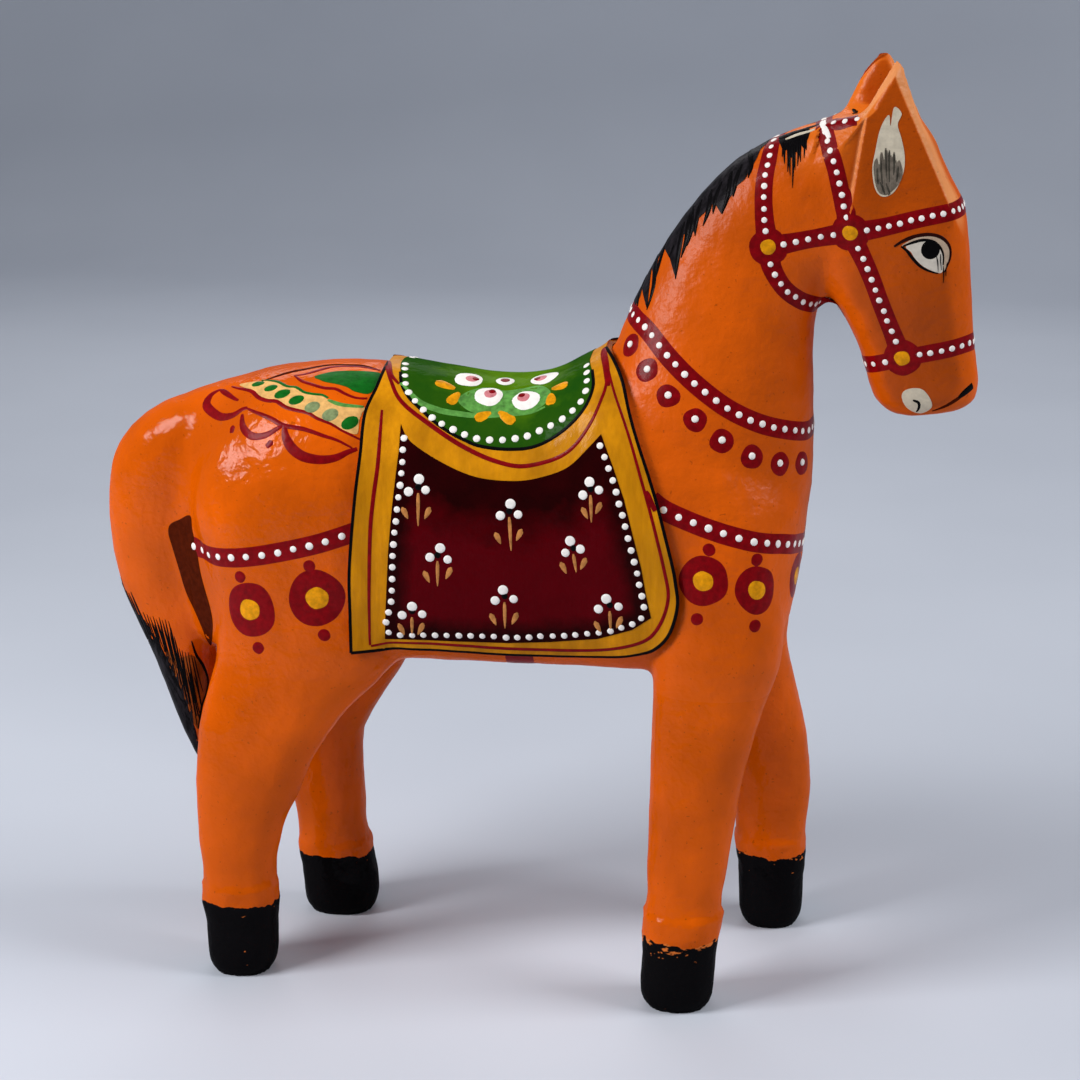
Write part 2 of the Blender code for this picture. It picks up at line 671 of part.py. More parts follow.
def cloth_outline():
    """Outline of the saddle cloth from the side; its top lies above the back."""
    hem = LEG_LENGTH + CLOTH_HEM_HEIGHT
    top = BACK_Z + WIDE / 3
    rear_top = TAIL_ROOT_X + CLOTH_REAR_TOP
    rear_hem = TAIL_ROOT_X + CLOTH_REAR_HEM
    front_top = CHEST_X - CLOTH_FRONT_TOP
    front_hem = CHEST_X - CLOTH_FRONT_HEM
    outline = [(rear_top, top), (rear_top, BACK_Z), (rear_hem, hem)]
    for k in range(7):
        angle = -pi / 2 + pi / 2 * k / 6
        outline.append((front_hem - CLOTH_CORNER + CLOTH_CORNER * cos(angle),
                        hem + CLOTH_CORNER + CLOTH_CORNER * sin(angle)))
    start_z = hem + CLOTH_CORNER
    rise = BACK_Z + CLOTH_OVER_BACK - start_z
    for k in range(1, 9):
        t = k / 8
        outline.append((front_hem + (front_top - front_hem) * t ** CLOTH_FRONT_BOW,
                        start_z + rise * t))
    outline.append((front_top, top))
    return outline


def saddle_cloth(form_mesh, material):
    """A layer that follows the horse: the form swelled twice, less and more."""
    cloth = bpy.data.objects.new("saddle_cloth", form_mesh.copy())
    inner = bpy.data.objects.new("cloth_lining", form_mesh.copy())
    for obj, swell in ((cloth, CLOTH_CLEARANCE + CLOTH_THICKNESS), (inner, CLOTH_CLEARANCE)):
        bpy.context.scene.collection.objects.link(obj)
        puff = obj.modifiers.new("Swell", 'DISPLACE')
        puff.strength = swell * MM
        puff.mid_level = 0.0
    cut(cloth, prism("cloth_space", cloth_outline()), 'INTERSECT')
    cut(cloth, inner, 'DIFFERENCE')
    finish(cloth, material)


def paint(name, colour, roughness):
    material = bpy.data.materials.new(name)
    material.use_nodes = True
    shader = material.node_tree.nodes["Principled BSDF"]
    shader.inputs["Base Color"].default_value = (*colour, 1.0)
    shader.inputs["Roughness"].default_value = roughness
    shader.inputs["Metallic"].default_value = 0.0
    return material


def finish(obj, material):
    obj.data.materials.clear()
    obj.data.materials.append(material)
    obj.data.shade_smooth()
    obj.data.set_sharp_from_angle(angle=SHARP_ANGLE)


def build():
    for obj in list(bpy.data.objects):
        bpy.data.objects.remove(obj)
    form_mesh = carved_form()
    places = dowel_places()
    for name, (outline, reach) in block_outlines().items():
        wooden_block(name, form_mesh, prism(name + "_space", outline, reach), places,
                     paint(name + "_paint", ORANGE_PAINT, 0.35))
    saddle_cloth(form_mesh, paint("cloth_paint", OCHRE_PAINT, 0.4))
    for name, (centre, axis, diameter, length, blocks) in places.items():
        dowel = rod(name, centre, axis, diameter, length, DOWEL_CHAMFER)
        finish(dowel, paint(name + "_wood", BARE_WOOD, 0.7))


build()
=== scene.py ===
"""Looks of a painted wooden horse: lacquered blocks, saddle cloth, and a painted folk harness."""

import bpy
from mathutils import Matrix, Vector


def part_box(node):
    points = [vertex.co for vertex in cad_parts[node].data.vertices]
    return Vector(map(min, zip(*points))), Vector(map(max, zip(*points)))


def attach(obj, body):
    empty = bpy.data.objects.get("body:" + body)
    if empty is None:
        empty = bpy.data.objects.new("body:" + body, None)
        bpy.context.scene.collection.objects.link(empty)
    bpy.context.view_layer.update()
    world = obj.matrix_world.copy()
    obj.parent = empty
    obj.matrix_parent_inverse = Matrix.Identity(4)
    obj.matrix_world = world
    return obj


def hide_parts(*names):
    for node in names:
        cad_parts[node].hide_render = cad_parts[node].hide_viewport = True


bl_info = {
    "name": "Painted Wooden Horse",
    "version": (1, 0, 0),
    "blender": (4, 5, 0),
    "location": "3D View > Sidebar > Painted Horse",
    "description": "Dresses a carved wooden horse in lacquer, a saddle cloth and painted harness",
    "category": "Add Mesh",
}

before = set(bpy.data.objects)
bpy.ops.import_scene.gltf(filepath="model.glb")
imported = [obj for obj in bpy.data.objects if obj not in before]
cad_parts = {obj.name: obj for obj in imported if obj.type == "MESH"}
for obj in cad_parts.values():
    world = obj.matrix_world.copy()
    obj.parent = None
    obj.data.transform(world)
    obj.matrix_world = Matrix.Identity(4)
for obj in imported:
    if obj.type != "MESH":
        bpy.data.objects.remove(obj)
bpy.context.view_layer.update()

from math import cos, exp, pi, radians, sin, sqrt, tau

import bmesh
import bpy
import numpy as np
from bpy.props import FloatProperty, FloatVectorProperty, IntProperty, PointerProperty
from mathutils import Vector, noise
from mathutils.bvhtree import BVHTree
from mathutils.geometry import delaunay_2d_cdt
from mathutils.interpolate import poly_3d_calc

MM = 0.001
BODY = "root"
BLOCKS = ("torso", "neck", "head", "tail",
          "fore_leg_near", "fore_leg_far", "hind_leg_near", "hind_leg_far")

# The photograph's frame and the camera that took it
PHOTO_PIXELS = 1080
CAMERA_LENS = 92.59
SENSOR_WIDTH = 36.0
CAMERA_TARGET = Vector((2.5, 0.0, 142.35)) * MM
CAMERA_PLACE = Vector((123.49, -860.87, 375.29)) * MM

# What paint, dots and carving add to the skin
SKIN_SWELL = 0.3 * MM
CLOTH_CELL = 1.9 * MM
SINK = 0.35 * MM
THIN_PAINT = 0.14 * MM
EDGE_FALL = 0.65
OVER_MIDDLE = 12 * MM
FLARE_REACH = 4 * MM
CHIP_REACH = 8 * MM
# Painted shade: how much darker the head's flat sides are drawn
PAINTED_FLAT_SHADE = 0.70
# Top of each ring of gesso above the hooves, and its thickness, in millimetres
FETLOCK_RINGS = (
    ("fore_leg_near", 31.5, 0.75), ("fore_leg_far", 32.0, 0.6), ("hind_leg_near", 31.0, 0.7),
    ("hind_leg_far", 26.5, 0.5))
# Height of each hoof's black edge in millimetres, and how far the black has flaked off
HOOF_EDGES = {"fore_leg_near": (23.8, 1.0), "fore_leg_far": (27.2, 0.55),
              "hind_leg_near": (25.0, 0.2), "hind_leg_far": (21.8, 0.2)}
HOOF_EDGE_WANDER = 3.0 * MM
LAYER_REACH = 80 * MM
DOT_UNEVENNESS = 0.07
FIELD_DOT_HEIGHT = 0.38 * MM
SPRIG_DOT_RADII = (1.72, 1.55, 1.42)
ROSETTE_CLEARANCE = 4.6 * MM
BACK_HAIR_COUNT = 17
BACK_HAIR_GAP = 1.15 * MM
ROUTE_STEP = 1.1 * MM

# How the rough skin is carved: its smoothing, the slimmer tail and chest, and the planed ears
SMOOTHING_PASSES = 26
SOLE_HEIGHT = 0.45 * MM
CARVE_DEPTH = 2.0 * MM
TAIL_START = 108 * MM
TAIL_WAIST_HEIGHT = 104 * MM
CHEST_START = 58 * MM
CHEST_HEIGHT = 139 * MM
FACE_START = 96 * MM
EAR_REGION = ((92 * MM, -0.05, 238 * MM), (0.15, 0.05, 0.35))
HEAD_START = 80 * MM
EAR_FADE_HEIGHT = 0.243
EAR_FADE_REACH = 15 * MM
EAR_POINT_HEIGHT = 0.284
EAR_POINT_REACH = 8 * MM
EAR_ROOT_REACH = 14 * MM
EAR_ROOT_STEP = 1.3 * MM
EAR_LEAST_DEPTH = 4.5 * MM
EAR_FRONT_SLOPE = 0.85
EAR_REAR_SLOPE = 0.9
# Half the head's depth at the ear's tip, at its front corner and at its root
EAR_DEPTHS = (11.6 * MM, 12.2 * MM, 16.2 * MM)

# Colours that the panel doesn't hold, and how far a field's dark rim reaches
OCHRE_SHADOW = (0.40, 0.125, 0.003)
SEAT_GREEN = (0.11, 0.26, 0.004)
MAROON_RIM = (0.004, 0.001, 0.001)
# Chips where the hoof's black flaked off: the orange beneath, lightened as painted glints
CHIP_ORANGE_AND_GLINT = (0.70, 0.17, 0.03)
# Painted highlights on the head: lighter lacquer at the ear tips and along the chamfers
EAR_TIP_HIGHLIGHT_ORANGE = (0.84, 0.20, 0.016)
CHAMFER_HIGHLIGHT_ORANGE = (0.93, 0.33, 0.11)
MAROON_RIM_REACH = 5.5 * MM
SEAT_RIM_REACH = 11 * MM

# Places in the photograph, in its pixels
CLOTH_EDGE = (
    (389, 361), (377, 386), (365, 413), (360, 455), (355, 495), (351, 540), (349, 578), (350, 615),
    (351, 653), (380, 650), (408, 649), (450, 651), (495, 654), (550, 656), (601, 657), (630, 656),
    (652, 651), (668, 636), (677, 608), (675, 582), (670, 557), (658, 509), (648, 475), (637, 441),
    (629, 412), (623, 384), (617, 367), (611, 355), (606, 347))
CLOTH_CORNER = 8
CLOTH_OVER_RIDGE = 0.03
REAR_CRIMSON = ((382, 410), (378, 462), (373, 500), (370, 535), (369, 601), (370, 645))
HEM_CRIMSON = (
    (371, 646), (408, 643), (452, 645), (495, 648), (550, 650), (601, 650), (640, 643), (658, 628),
    (668, 600), (664, 570), (652, 520), (640, 476), (629, 437), (615, 395), (609, 372))
FORK_CRIMSON = ((604, 348), (606, 366), (608, 386))
SEAT_CRIMSON = (
    (386, 366), (391, 381), (401, 401), (429, 424), (462, 446), (495, 461), (526, 466), (566, 453),
    (590, 424), (603, 395), (607, 380))
REAR_TOP_CRIMSON = ((389, 361), (391, 374), (399, 384))
MAROON_FIELD = (
    (401, 424), (410, 441), (441, 462), (476, 477), (514, 481), (542, 477), (568, 467), (590, 446),
    (601, 434), (613, 467), (624, 500), (641, 568), (646, 596), (651, 618), (632, 630), (597, 639),
    (550, 642), (509, 643), (447, 641), (385, 639), (386, 600), (388, 554), (391, 517), (395, 481),
    (399, 450))
MAROON_ARC = 9
MAROON_BEADS = (
    (404, 438), (402, 460), (400, 483), (396, 517), (393, 554), (391, 600), (390, 633), (447, 635),
    (509, 637), (550, 636), (597, 633), (629, 625), (644, 614), (640, 590), (636, 568), (619, 502),
    (608, 467), (600, 446))
SEAT_EDGE = (
    (403, 360), (401, 372), (402, 384), (409, 397), (420, 408), (434, 421), (448, 431), (465, 440),
    (481, 446), (509, 449), (535, 446), (561, 432), (578, 416), (588, 401), (593, 385), (592, 370),
    (590, 359))
SEAT_BEADS = (
    (405.5, 364.2), (404.3, 376.7), (405.5, 385.7), (408.8, 394.2), (416.6, 403.1), (426, 412.1),
    (436.9, 421.6), (449.2, 427.7), (461.4, 432.9), (470.9, 437.1), (481, 439.5), (492.1, 440),
    (503, 439.6), (513.6, 438.6), (525.1, 436.4), (535, 432.9), (549.2, 426.5), (558.9, 421.3),
    (568.5, 414.7), (575.9, 407.2), (583.2, 398.4), (586.2, 389.5), (587.2, 380.3), (586.3, 366))
# A painted highlight across the seat, drawn in light green: a crescent and a patch
SEAT_HIGHLIGHT_CRESCENT = (
    (401, 383), (418, 401), (438, 410), (459, 414), (480, 416), (505, 415), (530, 413), (545, 407))
SEAT_HIGHLIGHT_PATCH = (
    (458, 399), (464, 408), (478, 414), (505, 415), (528, 413), (544, 405), (551, 393), (541, 386),
    (522, 389), (504, 391), (486, 388), (470, 391))
SEAT_RING = (505.3, 381.3)
SEAT_END_PETALS = ((468.4, 379.3), (544.7, 378.4))
SEAT_SIDE_PETALS = ((488.5, 396.6), (525.5, 399.8))
SEAT_LEAVES = (
    ((436, 382), (455, 389)),
    ((449, 404), (459, 393)),
    ((475, 419), (491, 413)),
    ((514, 423), (499, 412)),
    ((568, 384), (552, 389)),
    ((551, 405), (551, 394)))
SPRIGS = (
    ((419, 479.1), (408.6, 491.6), (425.6, 490), (418.2, 493), (418.2, 525.8), (405, 512.9),
     (427.5, 512.9)),
    ((510.5, 503.9), (500.4, 515.5), (518.1, 514.5), (509.3, 517), (511.2, 550.6), (498, 538.1),
     (519.2, 534.8)),
    ((589.6, 482), (583, 495), (599, 490), (590.7, 495), (591.5, 522.3), (585, 513), (598.5, 508)),
    ((440.2, 548), (430, 557.2), (447.7, 559.4), (437.6, 561), (437.6, 586), (426.7, 576.6),
     (448.7, 573)),
    ((570.2, 540.9), (580.4, 549), (565.5, 552.7), (573.5, 554), (576.3, 572), (563.6, 567.8),
     (583.4, 563.6)),
    ((503, 590), (495.2, 600.4), (513.6, 599), (504.6, 602), (505.1, 628), (493.3, 619.1),
     (514.8, 618.3)),
    ((412.1, 606.5), (402.2, 615), (422.3, 614.1), (412.1, 617), (412.1, 634), (401.5, 629),
     (420.8, 628.7)),
    ((606.3, 598.8), (598.5, 608.9), (618.6, 606.5), (609.8, 611), (610.8, 631), (597.8, 626.8),
     (619.3, 622.1)))
GIRTH_MARK = (517, 640)
GIRTH_WIDTH = 9 * MM
NECK_BAND = ((629, 305), (648, 331), (672, 361), (700, 388), (732, 411), (768, 426), (804, 431))
NECK_PENDANTS = (
    (630, 345), (647, 370), (668, 396), (695, 420), (722, 441), (752, 457), (780, 464), (802, 463))
BREAST_STUB = ((646, 491), (650, 500), (655, 511))
BREAST_BAND = ((651, 500), (664, 510), (690, 522), (720, 533), (755, 542), (785, 544), (806, 540))
MEDALLIONS = ((703, 581, 7.9), (757, 590, 7.6), (250, 609.5, 8.8), (317, 598, 9.2))
BREAST_EDGE = (788, 583)
HIP_BAND = ((194, 546), (210, 555), (232, 558), (257, 556), (286, 551), (321, 543), (358, 531))
PEA_MARKS = (
    (240, 577), (258.5, 648), (309, 566), (324, 635), (709, 550), (697, 619), (757, 560),
    (755, 626))
CROWN_STRAP = ((768, 247), (764, 215), (764, 185), (769, 158), (777, 134))
POLL_STRAP = ((850, 233), (842, 197), (834, 163), (824, 124))
CHEEK_STRAP = ((768, 247), (795, 242), (822, 237), (850, 233))
BROW_STRAP = ((850, 233), (880, 228), (918, 219), (954, 211))
FACE_STRAP = ((850, 233), (868, 270), (884, 312), (902, 358))
THROAT_STRAP = ((768, 247), (772, 268), (784, 288), (800, 300), (813, 304))
NOSE_STRAP = ((866, 364), (885, 362), (902, 358), (935, 352), (966, 344))
CREST_STRAP = ((824, 124), (840, 122), (857, 119))
POLL_DAB = ((822.5, 122), (826, 131), (829.5, 138.5))
ROSETTES = ((768, 247), (850, 233), (902, 358))

LEAF = (
    (314.3, 376.8), (330, 372.3), (348, 371), (370, 371.7), (381, 374), (378, 380), (370, 393.5),
    (354.5, 391.5), (348, 387.6), (338, 384.5), (325, 382), (319, 379.5))
LEAF_LOWER_LINE = (
    (294.5, 375.5), (300.9, 380.6), (309.8, 383.8), (322.6, 387.6), (335.3, 388.9), (345.5, 394),
    (355.7, 397.8), (367, 398.5))
LEAF_UPPER_LINE = (
    (294.5, 375.5), (303.4, 374.5), (316.2, 371), (328.9, 367.5), (348.1, 366.3), (364.6, 367.3),
    (380, 370.4))
RIDGE_LINE = (
    (262, 381.5), (271.5, 378), (284.3, 373.8), (300.9, 370), (316.2, 367), (335.3, 364.8),
    (360.8, 365.3), (376, 369))
PALE_BAND = (
    (239.6, 385.2), (248.6, 382.6), (266.4, 381), (276.6, 381.9), (286.8, 387), (295.8, 388.3),
    (303.4, 393.4), (312.3, 395.3), (322.6, 396.6), (330.2, 401), (345.5, 406.1), (364.6, 407.4),
    (362.4, 412.5), (359, 421.4), (357, 434), (344.2, 430.4), (331.5, 423.3), (317.4, 417),
    (307.2, 411.9), (286.8, 406.8), (276.6, 400.4), (267.7, 399.7), (258.8, 396.6), (251.1, 390.2))
PALE_BAND_TOP_LINE = (
    (262, 380.3), (276.6, 381.6), (286.8, 386.4), (295.8, 387.4), (303.4, 392.1), (312.3, 394),
    (322.6, 395), (328, 398))
PALE_BAND_END_LINE = ((328, 400), (336, 403.5), (345.5, 405.6), (363.4, 407))
PALE_BAND_DROPS = (
    (258, 384, 1.6), (270.9, 388.2, 1.7), (282.4, 394, 2.0), (296.4, 400, 1.9), (350, 423, 2.2))
PALE_BAND_LIGHT_DROPS = ((312.3, 407.3, 2.2), (330.2, 414.8, 2.3))
RUMP_LINES = (
    (((232, 386.5), (238.4, 388.3), (251.1, 390.8), (258.8, 397.2), (267.7, 400.4), (276.6, 401),
      (286.8, 407.4), (307.2, 412.5), (317.4, 418.2), (331.5, 424), (344.2, 431.6), (361, 440)),
      1.7),
    (((220.5, 389.5), (232, 397.2), (238.4, 400.4)), 2.0),
    (((246, 408), (256.2, 412.5), (271.5, 418.9), (283, 425.3), (303.4, 429.1), (322.6, 435.5),
      (337.9, 440.6), (352, 448)), 1.6),
    (((220.5, 389.5), (211, 395), (206.5, 404.8), (212.9, 412.5), (221.8, 417), (233.3, 415.1),
      (242.2, 409.3), (247, 408)), 3.2),
    (((242.2, 414.3), (242.8, 426.5), (248.6, 434.2), (256.2, 436.7), (266.4, 434.8),
      (276.6, 429.1), (284, 424.3)), 2.6),
    (((284.3, 425.3), (285.6, 436.7), (291.9, 448.2), (303.4, 456.5), (320, 459.7), (335.3, 457.8),
      (348.1, 452), (357, 449)), 3.3))
RUMP_DROPS = (((233, 425.5), (231.5, 433)), ((272.5, 441), (266.5, 447)))
# Brown stripe where the tail meets the haunch: dark paint in the groove, with the groove's shade
# painted into it
TAIL_GROOVE_STRIPE_AND_SHADE = (
    (170.4, 524.1), (180.8, 518.9), (187.7, 515.2), (191.1, 517.2), (192, 527.6), (193.7, 536.2),
    (197.5, 555.1), (200.5, 572.3), (205, 589.6), (210, 606.8), (212.5, 620.6), (212.5, 634),
    (211, 645), (207, 640), (201.5, 626), (194.6, 610), (186, 591.3), (179.1, 568.9),
    (172.2, 546.5), (168.4, 532.7))
TAIL_BLACK = (
    (136, 611), (140, 620), (144, 628), (147, 641), (150, 634), (153, 649), (156, 642), (159, 656),
    (162, 648), (165, 664), (168, 655), (170, 671), (173, 662), (175, 681), (178, 672), (180, 692),
    (183, 684), (185, 702), (187, 694), (189, 714), (192, 708), (194, 726), (197, 741))
TAIL_MASS = (
    (137, 613), (141, 616), (146, 622), (150, 630), (155, 636), (160, 644), (164, 652), (168, 660),
    (173, 668), (176, 677), (180, 686), (183, 695), (187, 704), (190, 713), (193, 722), (196, 731),
    (198, 740), (194, 736), (186, 721), (178, 703), (170, 686), (162, 668), (154, 650), (146, 632),
    (140, 620))
# Darker orange among the tail hairs: a thin wash of the black, darkened further as painted shade
TAIL_WASH_AND_SHADE = (
    (166, 652), (172, 652), (178, 658), (184, 657), (190, 655), (195, 657), (200, 662), (204, 668),
    (208, 680), (206, 691), (201, 706), (199, 729), (190, 715), (180, 690), (170, 667))
TAIL_RIGHT_EDGE = (
    (191.5, 641), (196.3, 655), (203.2, 666), (208, 680), (206.5, 691), (201.5, 707), (198.5, 728))
TAIL_HAIRS = (
    (143, 612, 152, 636), (147, 614, 158, 645), (150, 617, 161, 648), (153, 616, 165, 652),
    (156, 619, 168, 655), (159, 617, 171, 660), (162, 620, 174, 663), (165, 619, 177, 668),
    (168.5, 621, 180, 674), (171, 628, 182, 678), (174, 636, 185, 686), (176, 644, 187, 692),
    (179, 648, 190, 698), (182, 650, 191, 703), (185, 652, 194, 705), (188, 652, 197, 702),
    (191, 654, 200, 700), (194, 656, 203, 692), (186, 668, 196, 716), (190, 672, 198, 716),
    (194, 676, 201, 706), (181, 664, 192, 708))
MANE_EDGE = (
    (768, 136), (760.8, 148.4), (756.4, 158.7), (750.5, 168.9), (744.7, 179.2), (735.9, 186.5),
    (732.9, 193.9), (727.1, 199.7), (721.2, 213.7), (715.9, 205), (708, 202.7), (705, 212),
    (697.7, 218.8), (695.5, 234.9), (690.9, 226.5), (688.4, 240), (683.6, 233), (679.7, 246.6),
    (677.5, 261.3), (675.7, 278.9), (669.9, 258.4), (665, 248.6), (661.1, 243.7), (658.2, 258.4),
    (655.2, 280.4), (651.5, 265.2), (649.6, 283.3), (647.1, 309.7), (642.5, 287.2), (640.1, 296),
    (635.7, 304.8))
MANE_HAIRS = (
    (752, 150, 748, 178), (742, 165, 733, 197), (732, 172, 722, 214), (722, 182, 713, 214),
    (712, 190, 703, 226), (702, 200, 695, 236), (694, 207, 687, 246), (685, 222, 675.5, 279),
    (690, 215, 681, 258), (668, 240, 655, 281), (658, 255, 647, 310), (646, 275, 638, 306))
POLL_PATCH = (
    (779, 138), (790, 134), (809, 129), (809, 136), (806, 143), (803, 148), (800, 143), (797, 153),
    (794, 149), (791, 158), (788, 149), (784, 152), (781, 146))
POLL_HAIRS = (
    (783, 142, 782, 157), (785.5, 142, 784.5, 164), (788, 142, 787.5, 172), (790.5, 142, 790, 176),
    (793, 142, 792.3, 188), (795.5, 142, 795, 170), (798, 140, 797.4, 166), (801, 139, 800.5, 162),
    (804, 138, 804, 158), (806.5, 137, 806.5, 150))
POLL_RIDGE = ((779, 138), (790, 134), (800, 130.8), (811, 127), (821, 123.8))
POLL_STROKE = ((785.7, 139.6), (800, 134), (815, 129.3))
EAR_TUFT = ((853, 114), (857, 111))
EAR_DARK_HAIRS = (
    (885.5, 148, 886, 178), (889.3, 150, 889.5, 182), (894, 152, 893.5, 175), (881, 160, 882, 184),
    (880, 182, 885, 195), (886, 183, 890, 194), (898, 166, 896.5, 182), (877, 168, 878, 184))
EAR_LEAF = (
    (875.6, 149.5), (879.3, 132), (884.3, 120.1), (889.3, 115.1), (890.5, 126), (894.2, 107.2),
    (901.7, 113.6), (897.7, 124.6), (901.7, 139.5), (904.7, 156.9), (902.9, 174.3), (894.2, 191.7),
    (883, 196.7), (875.3, 189.3), (872.3, 169.4))
EAR_LEAF_SHADE = (
    (873.5, 166), (877, 158), (879, 165), (882, 152), (884, 160), (887, 150), (889, 162),
    (893, 156), (895, 166), (899, 160), (902.5, 170), (901, 180), (893.5, 190), (883.5, 195),
    (876.5, 188))
EAR_HAIRS = (
    (876, 160, 876.5, 186, 3.2), (881, 152, 881.5, 192, 3.4), (886, 148, 886, 195, 3.6),
    (891, 155, 890.5, 192, 3.2), (896, 160, 895, 186, 2.8), (900, 164, 898.5, 180, 1.8),
    (883.5, 186, 889, 195, 4.0))
EYE_WHITE = (
    (906, 246), (911, 252), (914.3, 257.5), (921.8, 265.3), (932, 270.8), (941.5, 272.6),
    (944.5, 261.4), (942.7, 251.4), (936.5, 242.7), (922.8, 241))
EYE_LID = (
    (902, 246), (914, 238.5), (929, 236), (941, 239.5), (948, 247), (949, 256.4), (946, 266.4),
    (943.5, 272), (943, 262), (941.5, 251.4), (935.5, 243.2), (922.8, 241.2))
EYE_PUPIL = (930.5, 249.6)
EYE_TOP_LINE = (
    (894.2, 246.5), (903, 241), (914.1, 236.8), (929.1, 234.8), (941.5, 237.8), (949, 246),
    (950.2, 256.4), (946.5, 267), (943.5, 273))
EYE_INNER_LINE = (
    (903, 246), (914, 242), (923.5, 239.9), (933.7, 241.7), (940.3, 247.5), (943.3, 255.5),
    (943, 265))
EYE_LOWER_LINE = (
    (901, 246.5), (906.5, 250.5), (912.3, 258), (919.8, 266), (929, 271), (938, 273.3))
NOSTRIL_WHITE = (
    (902, 398.2), (903.5, 391.5), (911.6, 388.3), (922.1, 389.3), (929.3, 397.2), (932, 406.2),
    (925.1, 411.8), (916.6, 412.6), (906.7, 407.2))
NOSTRIL_COMMA = ((913, 400), (918.5, 402.5), (919, 407), (916.5, 411.5))
MOUTH = ((972.5, 385.5), (966, 391.5), (958.5, 397.8))
MOUTH_FADE = ((962, 395.5), (948, 404.8), (932, 411))
EYE_LASHES = (
    (936.5, 256, 938, 272), (940.5, 254, 941.5, 270), (943, 266, 943.5, 283), (947, 262, 946, 276))
EAR_TIP = (895, 77)
EAR_FRONT = (948, 204)
EAR_REAR = (868, 114)
EAR_ROOT = (853.5, 196)


def length(name, description, default, low, high):
    """A length in the panel, given in millimetres."""
    return FloatProperty(name=name, description=description, default=default * MM,
                         min=low * MM, max=high * MM, unit='LENGTH')


class HorseSizes(bpy.types.PropertyGroup):
    """Sizes that a user would change."""

    skin_fineness: length("Skin fineness", "Size of the cells of the carved skin", 1.1, 0.6, 3)
    gesso_lumps: length("Gesso lumps", "Height of the lumps that brushed gesso leaves", 0.34, 0, 2)
    dot_diameter: length("Dot diameter", "Diameter of the white dots on straps and bands",
                         2.02, 0.5, 6)
    dot_pitch: length("Dot pitch", "Distance from one white dot to the next", 3.35, 1, 12)
    strap_width: length("Strap width", "Width of the painted bridle straps", 5.4, 1, 12)
    band_width: length("Band width", "Width of the painted neck, breast and hip bands", 6.0, 1, 14)
    cloth_rise: length("Cloth rise", "How far the saddle cloth stands off the skin", 2.1, 0.5, 5)
    seed: IntProperty(
        name="Seed", description="Changes the hand-made unevenness of the dots", default=7, min=0)


def colour(name, description, value):
    return FloatVectorProperty(name=name, description=description, default=value,
                               subtype='COLOR', size=3, min=0.0, max=1.0)


class HorseColours(bpy.types.PropertyGroup):
    """Colours of the lacquer and the paints."""

    orange: colour("Orange", "Lacquer of the body", (0.70, 0.102, 0.0003))
    crimson: colour("Crimson", "Straps, bands and medallions", (0.20, 0.0006, 0.003))
    maroon: colour("Maroon", "Field of the saddle cloth", (0.10, 0.0006, 0.003))
    ochre: colour("Ochre", "Border of the saddle cloth and medallion centres", (0.72, 0.285, 0.003))
    green: colour("Green", "Seat and rump leaf", (0.004, 0.11, 0.008))
    # Leaf green also paints the highlight across the seat
    leaf_green: colour("Leaf green", "Light leaves on the seat", (0.10, 0.29, 0.055))
    white: colour("White", "Dots, petals and eyes", (0.93, 0.88, 0.83))
    black: colour("Black", "Hooves, mane, tail tip and fine lines", (0.003, 0.0025, 0.003))
    # Brown is kept dark for the groove beside the tail, partly as painted shade
    brown: colour("Brown", "Stripe on the side of the tail", (0.065, 0.008, 0.002))


def sizes():
    return bpy.context.scene.horse_sizes


def colours():
    return bpy.context.scene.horse_colours


# Materials

def new_material(name, base, roughness, coat, coat_roughness, gloss=0.08):
    """A Principled paint with its constants on the shader's own sockets."""
    material = bpy.data.materials.new(name)
    material.use_nodes = True
    shader = material.node_tree.nodes["Principled BSDF"]
    shader.inputs["Base Color"].default_value = (*base, 1.0)
    shader.inputs["Roughness"].default_value = roughness
    shader.inputs["Specular IOR Level"].default_value = gloss
    shader.inputs["Coat Weight"].default_value = coat
    shader.inputs["Coat Roughness"].default_value = coat_roughness
    return material, material.node_tree, shader


def add_node(tree, kind, settings=(), **inputs):
    node = tree.nodes.new(kind)
    for key, value in dict(settings).items():
        setattr(node, key, value)
    for key, value in inputs.items():
        put(tree, node, key.replace("_", " "), value)
    return node


def put(tree, node, name, value):
    """Links a socket to an input, or sets the input's own value."""
    if isinstance(value, bpy.types.NodeSocket):
        tree.links.new(value, node.inputs[name])
    else:
        node.inputs[name].default_value = value


def mottle(tree, place, size, detail=3.0, roughness=0.55):
    """Noise whose features are about so many metres across."""
    return add_node(tree, "ShaderNodeTexNoise", Vector=place, Scale=1.0 / size,
                    Detail=detail, Roughness=roughness).outputs["Fac"]


def ramp(tree, factor, low, high, first=0.35, last=0.65):
    """A soft step between two colours."""
    node = add_node(tree, "ShaderNodeValToRGB", Fac=factor)
    node.color_ramp.elements[0].position = first
    node.color_ramp.elements[0].color = (*low, 1.0)
    node.color_ramp.elements[1].position = last
    node.color_ramp.elements[1].color = (*high, 1.0)
    return node.outputs["Color"]


def maths(tree, operation, first, second=0.0):
    node = tree.nodes.new("ShaderNodeMath")
    node.operation = operation
    for socket, value in zip(node.inputs, (first, second)):
        if isinstance(value, bpy.types.NodeSocket):
            tree.links.new(value, socket)
        else:
            socket.default_value = value
    return node.outputs["Value"]


def mix_colours(tree, factor, first, second):
    node = tree.nodes.new("ShaderNodeMix")
    node.data_type = 'RGBA'
    node.clamp_factor = True
    for socket, value in zip((node.inputs[0], node.inputs[6], node.inputs[7]),
                             (factor, first, second)):
        if isinstance(value, bpy.types.NodeSocket):
            tree.links.new(value, socket)
        else:
            socket.default_value = value if isinstance(value, float) else (*value, 1.0)
    return node.outputs[2]


def shade(base, share):
    return tuple(min(1.0, c * share) for c in base)


